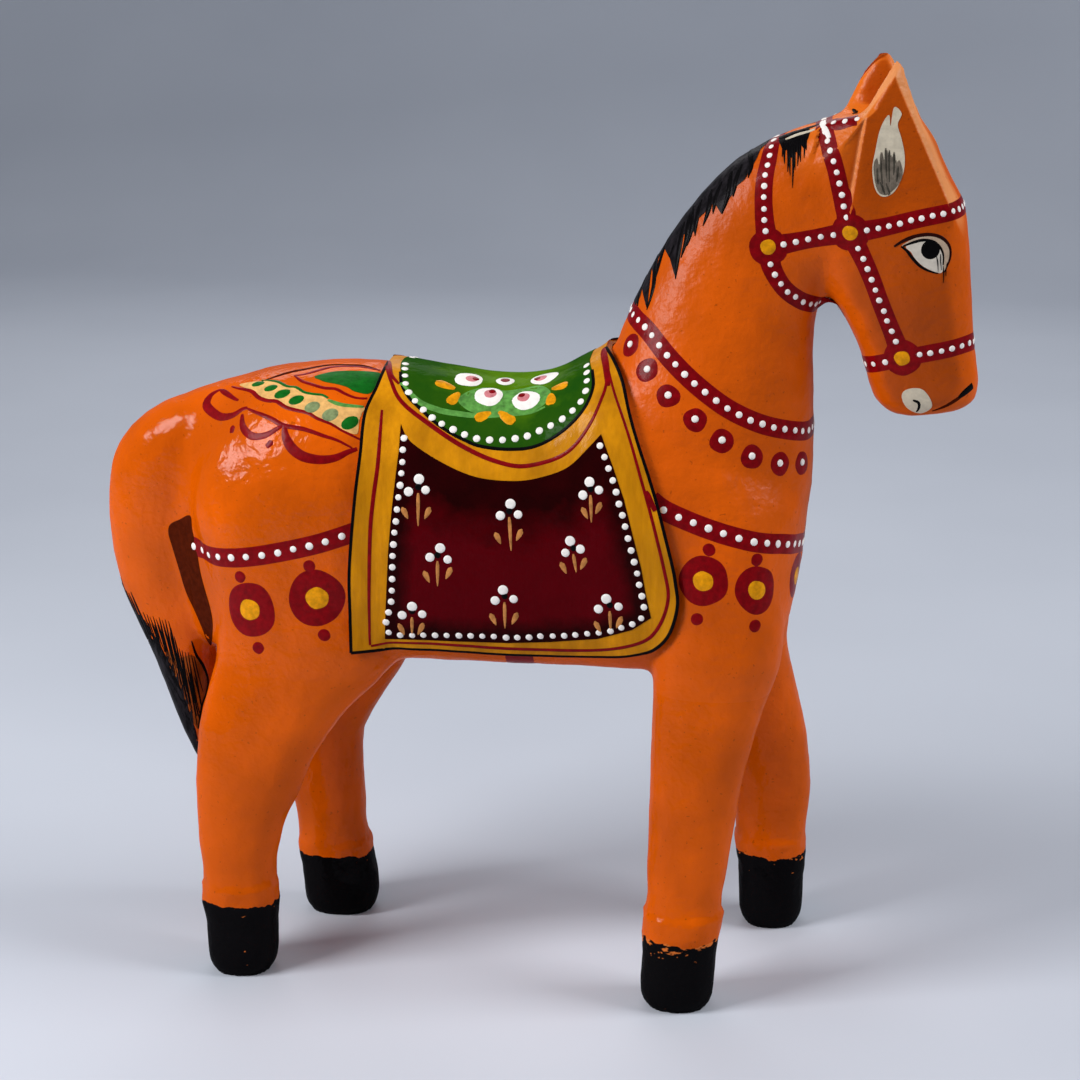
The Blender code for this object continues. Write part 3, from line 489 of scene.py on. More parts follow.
def bumps(tree, shader, layers):
    """Stacks bumps; each layer is a height from 0 to 1, and how many metres that is."""
    normal = None
    for height, distance in layers:
        node = add_node(tree, "ShaderNodeBump", Height=height, Distance=distance, Strength=1.0)
        if normal:
            tree.links.new(normal, node.inputs["Normal"])
        normal = node.outputs["Normal"]
    tree.links.new(normal, shader.inputs["Normal"])
    tree.links.new(normal, shader.inputs["Coat Normal"])


def object_place(tree):
    return add_node(tree, "ShaderNodeTexCoord").outputs["Object"]


def axis(tree, place, name):
    return add_node(tree, "ShaderNodeSeparateXYZ", Vector=place).outputs[name]


def mapped(tree, value, low, high, first, last):
    """A value between two limits, laid out between two others."""
    return add_node(tree, "ShaderNodeMapRange", Value=value, From_Min=low, From_Max=high,
                    To_Min=first, To_Max=last).outputs["Result"]


def kept_share(tree, name):
    """The number that a piece keeps for each of its points."""
    return add_node(tree, "ShaderNodeAttribute", settings={"attribute_name": name}).outputs["Fac"]


def stretched(tree, place, scale):
    """The same place with its axes scaled, so that noise runs in streaks."""
    return add_node(tree, "ShaderNodeMapping", Vector=place, Scale=scale).outputs["Vector"]


def orange_colour(tree, place, base):
    """Lacquer that pools thicker and thinner, with faint brush streaks."""
    pool = ramp(tree, mottle(tree, place, 34 * MM), shade(base, 0.80), shade(base, 1.13),
                0.36, 0.66)
    streak = mottle(tree, stretched(tree, place, (1.0, 1.0, 0.22)), 3.2 * MM, 4.0)
    tinted = mix_colours(tree, maths(tree, 'MULTIPLY', streak, 0.35), pool, shade(base, 0.72))
    specks = mottle(tree, place, 1.3 * MM, 1.0)
    worn = maths(tree, 'GREATER_THAN', specks, 0.735)
    return mix_colours(tree, maths(tree, 'MULTIPLY', worn, 0.55), tinted, shade(base, 0.45))


def gesso_bumps(tree, shader, place):
    brush = mottle(tree, stretched(tree, place, (1.0, 1.0, 0.3)), 0.55 * MM, 2.0)
    bumps(tree, shader, ((mottle(tree, place, 5.5 * MM, 2.0), 0.50 * MM),
                         (mottle(tree, place, 2.3 * MM, 2.0), 0.24 * MM), (brush, 0.03 * MM)))


def lacquer(name="orange_lacquer", painted_head_light=False):
    """Glossy orange lacquer over uneven gesso; on the head it also carries painted light: shade on
    the flat sides, highlights on the chamfers and the ear tips.
    """
    base = tuple(colours().orange)
    material, tree, shader = new_material(name, base, 0.5, 0.30, 0.12, gloss=0.0)
    place = object_place(tree)
    tint = orange_colour(tree, place, base)
    if painted_head_light:
        # Painted light on the head: ear tips lighter towards the top, flat sides darker, chamfers
        # lighter
        tip_highlight = mapped(tree, axis(tree, place, "Z"), 262 * MM, 280 * MM, 0.0, 0.65)
        for share, other in ((tip_highlight, EAR_TIP_HIGHLIGHT_ORANGE),
                             (kept_share(tree, "flat"), shade(base, PAINTED_FLAT_SHADE)),
                             (kept_share(tree, "chamfer"), CHAMFER_HIGHLIGHT_ORANGE)):
            tint = mix_colours(tree, share, tint, orange_colour(tree, place, other))
    put(tree, shader, "Base Color", tint)
    duller = mapped(tree, axis(tree, place, "X"), -45 * MM, 30 * MM, 0.11, 0.33)
    put(tree, shader, "Coat Roughness", duller)
    gesso_bumps(tree, shader, place)
    return material


def dipped_lacquer(name, edge_height, wander, chips):
    """Orange lacquer whose foot is painted black below a wavy edge at a height in metres.

    Chips is how far the black has flaked off just below its edge, from 0 to 1.
    """
    base = tuple(colours().orange)
    black = tuple(colours().black)
    material, tree, shader = new_material(name, base, 0.5, 0.22, 0.10, gloss=0.0)
    place = object_place(tree)
    drift = maths(tree, 'MULTIPLY', mottle(tree, place, 6.5 * MM, 3.0), wander * 2.0)
    above = maths(tree, 'SUBTRACT', maths(tree, 'ADD', axis(tree, place, "Z"), drift),
                  edge_height + wander)
    mask = maths(tree, 'LESS_THAN', above, 0.0)
    close = maths(tree, 'MAXIMUM',
                  maths(tree, 'ADD', 1.0, maths(tree, 'DIVIDE', above, CHIP_REACH)), 0.0)
    grain = mottle(tree, stretched(tree, place, (1.0, 1.0, 1.7)), 3.4 * MM, 2.0)
    flaked = maths(tree, 'ADD', grain, maths(tree, 'MULTIPLY', close, 0.30 * chips))
    # Flaked chips below the black's edge, lightened as painted glints
    flaked_and_glinting = ramp(tree, flaked, black, CHIP_ORANGE_AND_GLINT, 0.77, 0.82)
    put(tree, shader, "Base Color",
        mix_colours(tree, mask, orange_colour(tree, place, base), flaked_and_glinting))
    put(tree, shader, "Coat Weight",
        maths(tree, 'SUBTRACT', 0.22, maths(tree, 'MULTIPLY', mask, 0.15)))
    gesso_bumps(tree, shader, place)
    return material


def paint(name, base, roughness=0.42, coat=0.08, streaks=(1.0, 1.0, 1.0), contrast=0.25,
          gloss=0.05):
    """Brushed paint: a little lighter and darker along its streaks."""
    material, tree, shader = new_material(name, base, roughness, coat, 0.15, gloss)
    place = object_place(tree)
    streak = mottle(tree, stretched(tree, place, streaks), 1.9 * MM, 3.0)
    put(tree, shader, "Base Color",
        ramp(tree, streak, shade(base, 1.0 - contrast), shade(base, 1.0 + contrast), 0.3, 0.7))
    bumps(tree, shader, ((streak, 0.10 * MM), (mottle(tree, place, 0.6 * MM, 1.0), 0.02 * MM)))
    return material


def cloth_ochre():
    """Ochre brushed along the cloth, with darker strokes and faint crackle."""
    base = tuple(colours().ochre)
    material, tree, shader = new_material("painted_cloth", base, 0.42, 0.08, 0.12, gloss=0.03)
    place = object_place(tree)
    broad = ramp(tree, mottle(tree, stretched(tree, place, (1.0, 1.0, 0.3)), 9 * MM, 3.0),
                 shade(base, 0.66), shade(base, 1.16), 0.33, 0.66)
    streak = mottle(tree, stretched(tree, place, (1.0, 1.0, 0.12)), 1.3 * MM, 3.0)
    put(tree, shader, "Base Color",
        mix_colours(tree, maths(tree, 'MULTIPLY', streak, 0.60), broad, OCHRE_SHADOW))
    bumps(tree, shader, ((mottle(tree, place, 6 * MM, 2.0), 0.45 * MM), (streak, 0.09 * MM)))
    return material


def field_paint(name, middle, rim, reach):
    """Paint that darkens towards its rim; the piece holds its distance from the rim in metres."""
    material, tree, shader = new_material(name, middle, 0.40, 0.05, 0.12, gloss=0.0)
    place = object_place(tree)
    wander = maths(tree, 'MULTIPLY', mottle(tree, place, 7 * MM, 3.0), reach * 1.2)
    share = maths(tree, 'DIVIDE', maths(tree, 'SUBTRACT', kept_share(tree, "rim"), wander), reach)
    dark = ramp(tree, share, rim, middle, 0.0, 1.0)
    cloudy = mottle(tree, place, 11 * MM, 3.0)
    put(tree, shader, "Base Color",
        mix_colours(tree, maths(tree, 'MULTIPLY', cloudy, 0.55), dark, shade(middle, 0.55)))
    brush = mottle(tree, stretched(tree, place, (1.0, 1.0, 0.2)), 1.1 * MM, 2.0)
    bumps(tree, shader, ((mottle(tree, place, 4 * MM, 2.0), 0.30 * MM), (brush, 0.05 * MM)))
    return material


def bare_wood():
    """Pale turned wood with grain along the dowels."""
    base = (0.52, 0.33, 0.17)
    material, tree, shader = new_material("bare_wood", base, 0.62, 0.0, 0.2)
    place = object_place(tree)
    grain = mottle(tree, stretched(tree, place, (1.0, 3.0, 3.0)), 2.2 * MM, 4.0)
    put(tree, shader, "Base Color",
        ramp(tree, grain, shade(base, 0.62), shade(base, 1.2), 0.3, 0.7))
    bumps(tree, shader, ((grain, 0.08 * MM),))
    return material


# Plain brushed paints: a colour of their own, or None for the panel's, and how they differ
PAINTS = {
    "crimson": (None, {}),
    "ochre": (None, {}),
    "white": (None, {"roughness": 0.5, "contrast": 0.06}),
    "black": (None, {"roughness": 0.45, "coat": 0.03, "gloss": 0.02}),
    "green": (None, {}),
    "leaf_green": (None, {"contrast": 0.35}),
    "brown": (None, {"coat": 0.02, "gloss": 0.0}),
    "misty_green": ((0.20, 0.25, 0.11), {"contrast": 0.35}),
    "pink": ((0.62, 0.20, 0.22), {"contrast": 0.2}),
    "grey": ((0.16, 0.13, 0.10), {"contrast": 0.4}),
    "soot": ((0.055, 0.048, 0.036), {"contrast": 0.5}),
    "tan": ((0.50, 0.20, 0.055), {"contrast": 0.3}),
    "straw": ((0.72, 0.40, 0.13), {"contrast": 0.2}),
    "bone": ((0.62, 0.54, 0.41), {"roughness": 0.5, "contrast": 0.12}),
    # A warm off-white for the eyes, dimmed further as painted shade of the head's flat side
    "eye_white": ((0.66, 0.59, 0.50), {"contrast": 0.08}),
    "lid": ((0.52, 0.38, 0.27), {"contrast": 0.15}),
    "kohl": ((0.022, 0.003, 0.002), {"gloss": 0.02}),
    # Rust is the darker orange of the tail's wash, partly painted shade
    "rust": ((0.24, 0.052, 0.004), {"streaks": (1.0, 1.0, 0.15), "contrast": 0.6}),
}


def brushed(key):
    """A plain paint, made the first time that a piece asks for it."""
    base, manner = PAINTS[key]
    name = key + "_paint"
    return bpy.data.materials.get(name) or paint(
        name, base or tuple(getattr(colours(), key)), **manner)


def hair_black_with_sheen():
    """Black with grey brush streaks, lightened into a painted sheen on the hair."""
    return bpy.data.materials.get("hair_black_paint") or paint(
        "hair_black_paint", shade(colours().black, 4.0), roughness=0.45, coat=0.03, gloss=0.02,
        streaks=(1.0, 1.0, 0.3), contrast=0.9)


# Meshes that are built or edited

def opened(mesh):
    bm = bmesh.new()
    bm.from_mesh(mesh)
    return bm


def stored(bm, mesh):
    """Writes what was built into a mesh."""
    bm.to_mesh(mesh)
    bm.free()
    return mesh


# Finding places on the skin

def photo_ray(pixel):
    """Start and direction of the ray through a pixel of the photograph."""
    back = (CAMERA_PLACE - CAMERA_TARGET).normalized()
    right = Vector((0, 0, 1)).cross(back).normalized()
    up = back.cross(right)
    focal = CAMERA_LENS / SENSOR_WIDTH * PHOTO_PIXELS
    middle = PHOTO_PIXELS / 2
    aim = right * (pixel[0] - middle) / focal - up * (pixel[1] - middle) / focal - back
    return CAMERA_PLACE, aim.normalized()


class Surface:
    """A finished skin that paint is laid on."""

    def __init__(self, mesh):
        self.points = [vertex.co.copy() for vertex in mesh.vertices]
        self.normals = [normal.vector.copy() for normal in mesh.vertex_normals]
        self.faces = [tuple(face.vertices) for face in mesh.polygons]
        self.tree = BVHTree.FromPolygons(self.points, self.faces)

    def normal_at(self, place, face):
        corners = self.faces[face]
        weights = poly_3d_calc([self.points[i] for i in corners], place)
        return sum((self.normals[i] * w for i, w in zip(corners, weights)), Vector()).normalized()

    def nearest(self, point):
        """The place on the skin nearest to a point, and the skin's normal there."""
        place, _, face, _ = self.tree.find_nearest(point)
        return place, self.normal_at(place, face)

    def cast(self, start, direction):
        place, _, face, _ = self.tree.ray_cast(start, direction)
        if place is None:
            return None
        return place, self.normal_at(place, face)

    def seen(self, pixel):
        """The place that a pixel of the photograph shows, or the skin's edge nearest to it."""
        start, direction = photo_ray(pixel)
        found = self.cast(start, direction)
        if found:
            return found
        across = start + direction * (-start.y / direction.y)
        return self.nearest(across)


def mirrored(point):
    return Vector((point.x, -point.y, point.z))


def both(surface, pixel):
    """The place of a pixel on the near side and its mirror image."""
    place = surface.seen(pixel)[0]
    return place, mirrored(place)


def smooth_route(points, step):
    """Points about a step apart on a smooth curve through the given ones."""
    out = []
    for i in range(len(points) - 1):
        before = points[max(i - 1, 0)]
        start = points[i]
        end = points[i + 1]
        after = points[min(i + 2, len(points) - 1)]
        count = max(1, round((end - start).length / step))
        for k in range(count):
            t = k / count
            out.append(0.5 * (2 * start + (end - before) * t
                              + (2 * before - 5 * start + 4 * end - after) * t ** 2
                              + (3 * start - before - 3 * end + after) * t ** 3))
    out.append(points[-1].copy())
    return out


def over_middle(surface, place):
    """Where a line that leaves the near side at a place meets the middle of the horse."""
    normal = surface.nearest(place)[1]
    away = Vector((normal.x, 0.0, normal.z)).normalized()
    found = surface.cast(Vector((place.x, 0.0, place.z)) + away * OVER_MIDDLE, -away)
    return found[0] if found else Vector((place.x, 0.0, place.z))


def routes_for(surface, pixels, over_start=False, over_end=False, step=ROUTE_STEP):
    """A route through pixels and its mirror image, joined where the route goes over the middle."""
    near = [surface.seen(pixel)[0] for pixel in pixels]
    far = [mirrored(point) for point in near]
    if over_end:
        near = near + [over_middle(surface, near[-1])] + far[::-1]
        if over_start:
            first = over_middle(surface, near[0])
            near = [first] + near + [first]
        return [smooth_route(near, step)]
    return [smooth_route(near, step), smooth_route(far, step)]


# Laying paint as thin closed relief

class Relief:
    """Collects closed bits of thick paint and makes them one piece."""

    def __init__(self, surface):
        self.surface = surface
        self.points = []
        self.faces = []
        self.shades = []

    def band(self, route, width, height=THIN_PAINT, across=5, taper=(1.0, 1.0), flare=(0.0, 0.0)):
        """A stroke along a route; taper gives the share of its width at both ends.

        Flare adds to the width within a few millimetres of each end.
        """
        count = len(route)
        rings = []
        total = sum((b - a).length for a, b in zip(route, route[1:]))
        for k, centre in enumerate(route):
            place, normal = self.surface.nearest(centre)
            tangent = route[min(k + 1, count - 1)] - route[max(k - 1, 0)]
            side = tangent.cross(normal)
            if side.length < 1e-9:
                continue
            side.normalize()
            t = k / (count - 1)
            half = width / 2 * width_share(t, taper)
            half += (flare[0] * exp(-t * total / FLARE_REACH)
                     + flare[1] * exp((t - 1) * total / FLARE_REACH))
            top = []
            low = []
            for j in range(across):
                s = 2 * j / (across - 1) - 1
                spot, up = self.surface.nearest(place + side * s * half)
                top.append(spot + up * height * (1.0 - EDGE_FALL * abs(s) ** 4))
                low.append(spot - up * SINK)
            rings.append(top + low[::-1])
        self.tube(rings)

    def tube(self, rings):
        """Joins rings of points into one closed skin."""
        base = len(self.points)
        size = len(rings[0])
        for ring in rings:
            self.points += ring
        for k in range(len(rings) - 1):
            low = base + k * size
            for j in range(size):
                i = (j + 1) % size
                self.faces.append((low + j, low + i, low + size + i, low + size + j))
        self.faces.append(tuple(base + j for j in reversed(range(size))))
        last = base + (len(rings) - 1) * size
        self.faces.append(tuple(last + j for j in range(size)))

    def spot(self, centre, radius, height=THIN_PAINT, shape=None, turn=0.0, sides=24, up=None,
             steps=(0.0, 0.45, 0.8, 1.0), profile=(1.0, 1.0, 0.85, 0.2)):
        """A round or shaped dab: shape gives the radius as a share at each angle."""
        place, normal = self.surface.nearest(centre)
        first = (up or Vector((0, 0, 1))).cross(normal).normalized()
        second = normal.cross(first)
        base = len(self.points)
        self.points.append(place + normal * height * profile[0])
        rings = list(zip(steps[1:], profile[1:])) + [(1.0, None)]
        for share, lift in rings:
            for k in range(sides):
                angle = tau * k / sides
                reach = radius * share * (shape(angle) if shape else 1.0)
                aim = first * cos(angle + turn) + second * sin(angle + turn)
                spot, away = self.surface.nearest(place + aim * reach)
                self.points.append(spot + away * (height * lift if lift is not None else -SINK))
        self.points.append(place - normal * SINK)
        last = len(self.points) - 1
        for k in range(sides):
            j = (k + 1) % sides
            self.faces.append((base, base + 1 + k, base + 1 + j))
            for ring in range(len(rings) - 1):
                low = base + 1 + ring * sides
                self.faces.append((low + k, low + sides + k, low + sides + j, low + j))
            low = base + 1 + (len(rings) - 1) * sides
            self.faces.append((last, low + j, low + k))

    def stroke(self, pixels, width, height, step=ROUTE_STEP, **manner):
        """A stroke through pixels, and its mirror image; width and height in millimetres."""
        for route in routes_for(self.surface, pixels, step=step):
            self.band(route, width * MM, height * MM, **manner)

    def dabs(self, pixel, radius, height, **manner):
        """A dab at a pixel, and its mirror image; radius and height in millimetres."""
        for place in both(self.surface, pixel):
            self.spot(place, radius * MM, height * MM, **manner)

    def hairs(self, strokes, width, height, taper=(0.6, 0.08), bend=1.5):
        """Tapered strokes between two pixels each, and their mirror images; in millimetres."""
        for k, (u, v, p, q) in enumerate(strokes):
            middle = ((u + p) / 2 + bend * (-1) ** k, (v + q) / 2)
            self.stroke(((u, v), middle, (p, q)), width, height, step=1.3 * MM, taper=taper)

    def patch(self, outline, height, grain=3.5, far_too=True, rounded=True):
        """Fills an outline in pixels, on one side or on both; height in millimetres."""
        def near_place(u, v):
            return self.surface.seen((u, v))

        def far_place(u, v):
            return self.surface.nearest(mirrored(near_place(u, v)[0]))

        edge = curve_outline(outline, 2.5) if rounded else outline
        for place_of in (near_place, far_place) if far_too else (near_place,):
            self.field(edge, place_of, height * MM, grain)

    def field(self, outline, place_of, height, grain):
        """Fills an outline in flat coordinates; place_of puts each flat point on the skin."""
        flat, triangles, rim = filled(outline, grain)
        base = len(self.points)
        lows = []
        for u, v in flat:
            spot, up = place_of(u, v)
            self.points.append(spot + up * height)
            lows.append(spot - up * SINK)
        self.points += lows
        count = len(flat)
        first = triangles[0]
        a, b, c = (self.points[base + i] for i in first)
        facing = (b - a).cross(c - a).dot(self.surface.nearest(a)[1])
        for a, b, c in triangles:
            if facing < 0:
                b, c = c, b
            self.faces.append((base + a, base + b, base + c))
            self.faces.append((base + count + a, base + count + c, base + count + b))
        for a, b in rim:
            if facing < 0:
                a, b = b, a
            self.faces.append((base + b, base + a, base + count + a, base + count + b))

    def piece(self, name, paint_key):
        """The collected relief as one finished piece in a plain paint."""
        mesh = bpy.data.meshes.new(name)
        mesh.from_pydata([tuple(p) for p in self.points], [], self.faces)
        mesh.materials.append(brushed(paint_key))
        bm = opened(mesh)
        bmesh.ops.recalc_face_normals(bm, faces=bm.faces[:])
        return finished(name, stored(bm, mesh))


def width_share(t, taper):
    """Share of a stroke's width: it grows over the first 30% and falls over the last 70%."""
    start, end = taper
    share = 1.0
    if start < 1.0:
        share = min(share, start + (1 - start) * sin(min(t / 0.3, 1.0) * pi / 2))
    if end < 1.0:
        share = min(share, end + (1 - end) * sin(min((1 - t) / 0.7, 1.0) * pi / 2))
    return share


def filled(outline, grain):
    """Triangles inside a flat outline, with inner points a grain apart, and its rim's edges."""
    ring = []
    for k, (u, v) in enumerate(outline):
        p, q = outline[(k + 1) % len(outline)]
        steps = max(1, round(sqrt((p - u) ** 2 + (q - v) ** 2) / grain))
        ring += [(u + (p - u) * i / steps, v + (q - v) * i / steps) for i in range(steps)]
    count = len(ring)
    low_u = min(u for u, v in ring)
    high_u = max(u for u, v in ring)
    low_v = min(v for u, v in ring)
    high_v = max(v for u, v in ring)
    inner = []
    row = 0
    v = low_v + grain / 2
    while v < high_v:
        u = low_u + grain * (0.5 if row % 2 else 1.0)
        while u < high_u:
            if inside(ring, u, v) and rim_distance(ring, u, v) > 0.55 * grain:
                inner.append((u, v))
            u += grain
        v += grain * 0.87
        row += 1
    edges = [(k, (k + 1) % count) for k in range(count)]
    points = [Vector(p) for p in ring + inner]
    made = delaunay_2d_cdt(points, edges, [tuple(range(count))], 1, 1e-6)
    flat = [(p.x, p.y) for p in made[0]]
    triangles = [tuple(face) for face in made[2]]
    used = {}
    for a, b, c in triangles:
        for edge in ((a, b), (b, c), (c, a)):
            used[edge] = True
    rim = [edge for edge in used if (edge[1], edge[0]) not in used]
    return flat, triangles, rim


def inside(ring, u, v):
    odd = False
    j = len(ring) - 1
    for i in range(len(ring)):
        ui, vi = ring[i]
        uj, vj = ring[j]
        if (vi > v) != (vj > v) and u < (uj - ui) * (v - vi) / (vj - vi) + ui:
            odd = not odd
        j = i
    return odd


def rim_distance(ring, u, v):
    return sqrt(min((u - p) ** 2 + (v - q) ** 2 for p, q in ring))


def curve_outline(points, step, closed=True):
    """A smooth flat outline through a few points."""
    routes = [Vector((u, v, 0.0)) for u, v in points]
    if closed:
        routes = routes[-1:] + routes + routes[:2]
    path = smooth_route(routes, step)
    if closed:
        start = min(range(len(path)), key=lambda k: (path[k] - routes[1]).length)
        stop = max(k for k, point in enumerate(path) if (point - routes[1]).length < 1e-9)
        path = path[start:stop]
    return [(p.x, p.y) for p in path]


# Finishing pieces

def finished(name, mesh, sharp=50, replaced=()):
    """Links a mesh that already lies in its place, smooths it and seats it on the body."""
    mesh.shade_smooth()
    if sharp:
        mesh.set_sharp_from_angle(angle=radians(sharp))
    obj = bpy.data.objects.new(name, mesh)
    bpy.context.scene.collection.objects.link(obj)
    if replaced:
        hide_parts(*replaced)
    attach(obj, BODY)
    return obj


def plain_mesh(obj):
    """The evaluated object as a mesh without modifiers."""
    graph = bpy.context.evaluated_depsgraph_get()
    return bpy.data.meshes.new_from_object(obj.evaluated_get(graph))


def scratch(name, mesh):
    obj = bpy.data.objects.new(name, mesh)
    bpy.context.scene.collection.objects.link(obj)
    return obj


def remeshed(mesh, cell):
    """A closed skin made anew from cells of one size."""
    obj = scratch("remeshed", mesh)
    remesh = obj.modifiers.new("One skin", 'REMESH')
    remesh.mode = 'VOXEL'
    remesh.voxel_size = cell
    made = plain_mesh(obj)
    bpy.data.objects.remove(obj)
    return made


def coated(mesh, material):
    """A mesh with one material alone."""
    mesh.materials.clear()
    mesh.materials.append(material)
    return mesh


# Layers that follow the skin and cross the ridge of the back

def swelled(mesh, distance):
    """A copy of a skin moved outwards along its normals."""
    copy = mesh.copy()
    set_points(copy, mesh_points(mesh) + mesh_normals(mesh) * distance)
    return copy


def side_outline(surface, pixels):
    """Where an outline in the photograph falls on the skin, seen square from the side."""
    places = [surface.seen(pixel)[0] for pixel in pixels]
    return [(place.x, place.z) for place in places]


def wall_through(outline):
    """A closed prism that stands on an outline in x and z and runs across the horse."""
    bm = bmesh.new()
    rings = [[bm.verts.new((x, y, z)) for x, z in outline]
             for y in (-LAYER_REACH, LAYER_REACH)]
    bm.faces.new(rings[0])
    bm.faces.new(rings[1][::-1])
    count = len(outline)
    for k in range(count):
        j = (k + 1) % count
        bm.faces.new((rings[0][j], rings[0][k], rings[1][k], rings[1][j]))
    bmesh.ops.recalc_face_normals(bm, faces=bm.faces[:])
    bmesh.ops.triangulate(bm, faces=bm.faces[:])
    return stored(bm, bpy.data.meshes.new("wall"))


def layer(skin, outline, inner, outer):
    """The layer between two swells of a skin, inside an outline seen from the side."""
    body = scratch("layer", swelled(skin, outer))
    parts = ((wall_through(outline), 'INTERSECT'), (swelled(skin, inner), 'DIFFERENCE'))
    for mesh, operation in parts:
        other = scratch("layer_cutter", mesh)
        cut = body.modifiers.new("Cut", 'BOOLEAN')
        cut.operation = operation
        cut.solver = 'MANIFOLD'
        cut.object = other
        made = plain_mesh(body)
        body.modifiers.clear()
        body.data = made
        bpy.data.objects.remove(other)
    bpy.data.objects.remove(body)
    if not made.polygons:
        raise RuntimeError("a layer came out empty")
    return made


# Rows of dots

def bead_tree():
    """Geometry Nodes that set flattened dots along a path, each one square to the skin."""
    tree = bpy.data.node_groups.new("Beads along a path", 'GeometryNodeTree')
    sockets = {}
    for name, kind in (("Path", 'Geometry'), ("Skin", 'Object'), ("Diameter", 'Float'),
                       ("Pitch", 'Float'), ("Height", 'Float'), ("Unevenness", 'Float'),
                       ("Seed", 'Int'), ("Paint", 'Material')):
        sockets[name] = tree.interface.new_socket(
            name, in_out='INPUT', socket_type='NodeSocket' + kind).identifier
    tree.interface.new_socket("Dots", in_out='OUTPUT', socket_type='NodeSocketGeometry')

    def new(kind, inputs=(), **settings):
        """Adds a node, links or sets its inputs, and gives back its outputs."""
        node = tree.nodes.new(kind)
        for key, value in settings.items():
            setattr(node, key, value)
        for key, value in dict(inputs).items():
            put(tree, node, key, value)
        return node.outputs

    given = new('NodeGroupInput')
    uneven = given["Unevenness"]
    curve = new('GeometryNodeMeshToCurve', {"Mesh": given["Path"]})
    spaced = new('GeometryNodeResampleCurve', {"Curve": curve["Curve"], "Length": given["Pitch"]},
                 mode='LENGTH')
    drift = new('FunctionNodeRandomValue', {"Min": (-1, -1, -1), "Seed": given["Seed"]},
                data_type='FLOAT_VECTOR')
    reach = new('ShaderNodeMath', {0: uneven, 1: given["Diameter"]}, operation='MULTIPLY')
    moved = new('ShaderNodeVectorMath', {0: drift["Value"], "Scale": reach["Value"]},
                operation='SCALE')
    shifted = new('GeometryNodeSetPosition',
                  {"Geometry": spaced["Curve"], "Offset": moved["Vector"]})
    skin = new('GeometryNodeObjectInfo', {"Object": given["Skin"]}, transform_space='ORIGINAL')
    place = new('GeometryNodeInputPosition')
    nearest = new('GeometryNodeProximity',
                  {0: skin["Geometry"], "Sample Position": place["Position"]},
                  target_element='FACES')
    seated = new('GeometryNodeSetPosition',
                 {"Geometry": shifted["Geometry"], "Position": nearest["Position"]})
    normal = new('GeometryNodeInputNormal')
    away = new('GeometryNodeSampleNearestSurface',
               {"Mesh": skin["Geometry"], "Value": normal["Normal"]}, data_type='FLOAT_VECTOR')
    turn = new('FunctionNodeAlignRotationToVector', {"Vector": away["Value"]}, axis='Z')
    low = new('ShaderNodeMath', {0: 1.0, 1: uneven}, operation='SUBTRACT')
    high = new('ShaderNodeMath', {0: 1.0, 1: uneven}, operation='ADD')
    size = new('FunctionNodeRandomValue',
               {2: low["Value"], 3: high["Value"], "Seed": given["Seed"]}, data_type='FLOAT')
    dot = new('GeometryNodeMeshUVSphere', {"Segments": 12, "Rings": 6, "Radius": 0.5})
    double = new('ShaderNodeMath', {0: given["Height"], 1: 2.0}, operation='MULTIPLY')
    shape = new('ShaderNodeCombineXYZ',
                {"X": given["Diameter"], "Y": given["Diameter"], "Z": double["Value"]})
    flat = new('GeometryNodeTransform', {"Geometry": dot["Mesh"], "Scale": shape["Vector"]})
    placed = new('GeometryNodeInstanceOnPoints',
                 {"Points": seated["Geometry"], "Instance": flat["Geometry"],
                  "Rotation": turn["Rotation"], "Scale": size[1]})
    real = new('GeometryNodeRealizeInstances', {"Geometry": placed["Instances"]})
    painted = new('GeometryNodeSetMaterial',
                  {"Geometry": real["Geometry"], "Material": given["Paint"]})
    new('NodeGroupOutput', {"Dots": painted["Geometry"]})
    return tree, sockets


def beads(name, routes, skin, diameter, pitch, height):
    """White dots along routes on a skin, as one piece."""
    tree, sockets = bead_tree()
    points = []
    edges = []
    for route in routes:
        edges += [(len(points) + k, len(points) + k + 1) for k in range(len(route) - 1)]
        points += [tuple(point) for point in route]
    mesh = bpy.data.meshes.new(name + "_path")
    mesh.from_pydata(points, edges, [])
    path = scratch(name + "_path", mesh)
    ground = scratch(name + "_ground", skin.copy())
    threaded = path.modifiers.new("Beads", 'NODES')
    threaded.node_group = tree
    values = {"Skin": ground, "Diameter": diameter, "Pitch": pitch, "Height": height,
              "Unevenness": DOT_UNEVENNESS, "Seed": sizes().seed, "Paint": brushed("white")}
    for key, value in values.items():
        threaded[sockets[key]] = value
    made = plain_mesh(path)
    bpy.data.objects.remove(path)
    bpy.data.objects.remove(ground)
    if not made.polygons:
        raise RuntimeError(name + " has no dots")
    return finished(name, made, sharp=None)


# The carved skin

def merged_copy(node, swell):
    """A CAD node's triangles merged into a closed skin and swelled a little."""
    bm = opened(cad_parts[node].data)
    bmesh.ops.remove_doubles(bm, verts=bm.verts[:], dist=1e-6)
    bm.normal_update()
    for vertex in bm.verts:
        vertex.co += vertex.normal * swell
    return bm


def rough_skin():
    """All wooden blocks as one fine skin, their glue joints closed."""
    joined = bpy.data.meshes.new("rough_skin")
    whole = bmesh.new()
    for node in BLOCKS:
        whole.from_mesh(stored(merged_copy(node, SKIN_SWELL), joined))
    return remeshed(stored(whole, joined), sizes().skin_fineness)


def mesh_points(mesh):
    points = np.empty(len(mesh.vertices) * 3)
    mesh.vertices.foreach_get("co", points)
    return points.reshape(-1, 3)


def mesh_normals(mesh):
    normals = np.empty(len(mesh.vertices) * 3)
    mesh.vertex_normals.foreach_get("vector", normals)
    return normals.reshape(-1, 3)


def set_points(mesh, points):
    mesh.vertices.foreach_set("co", points.astype(np.float32).ravel())
    mesh.update()


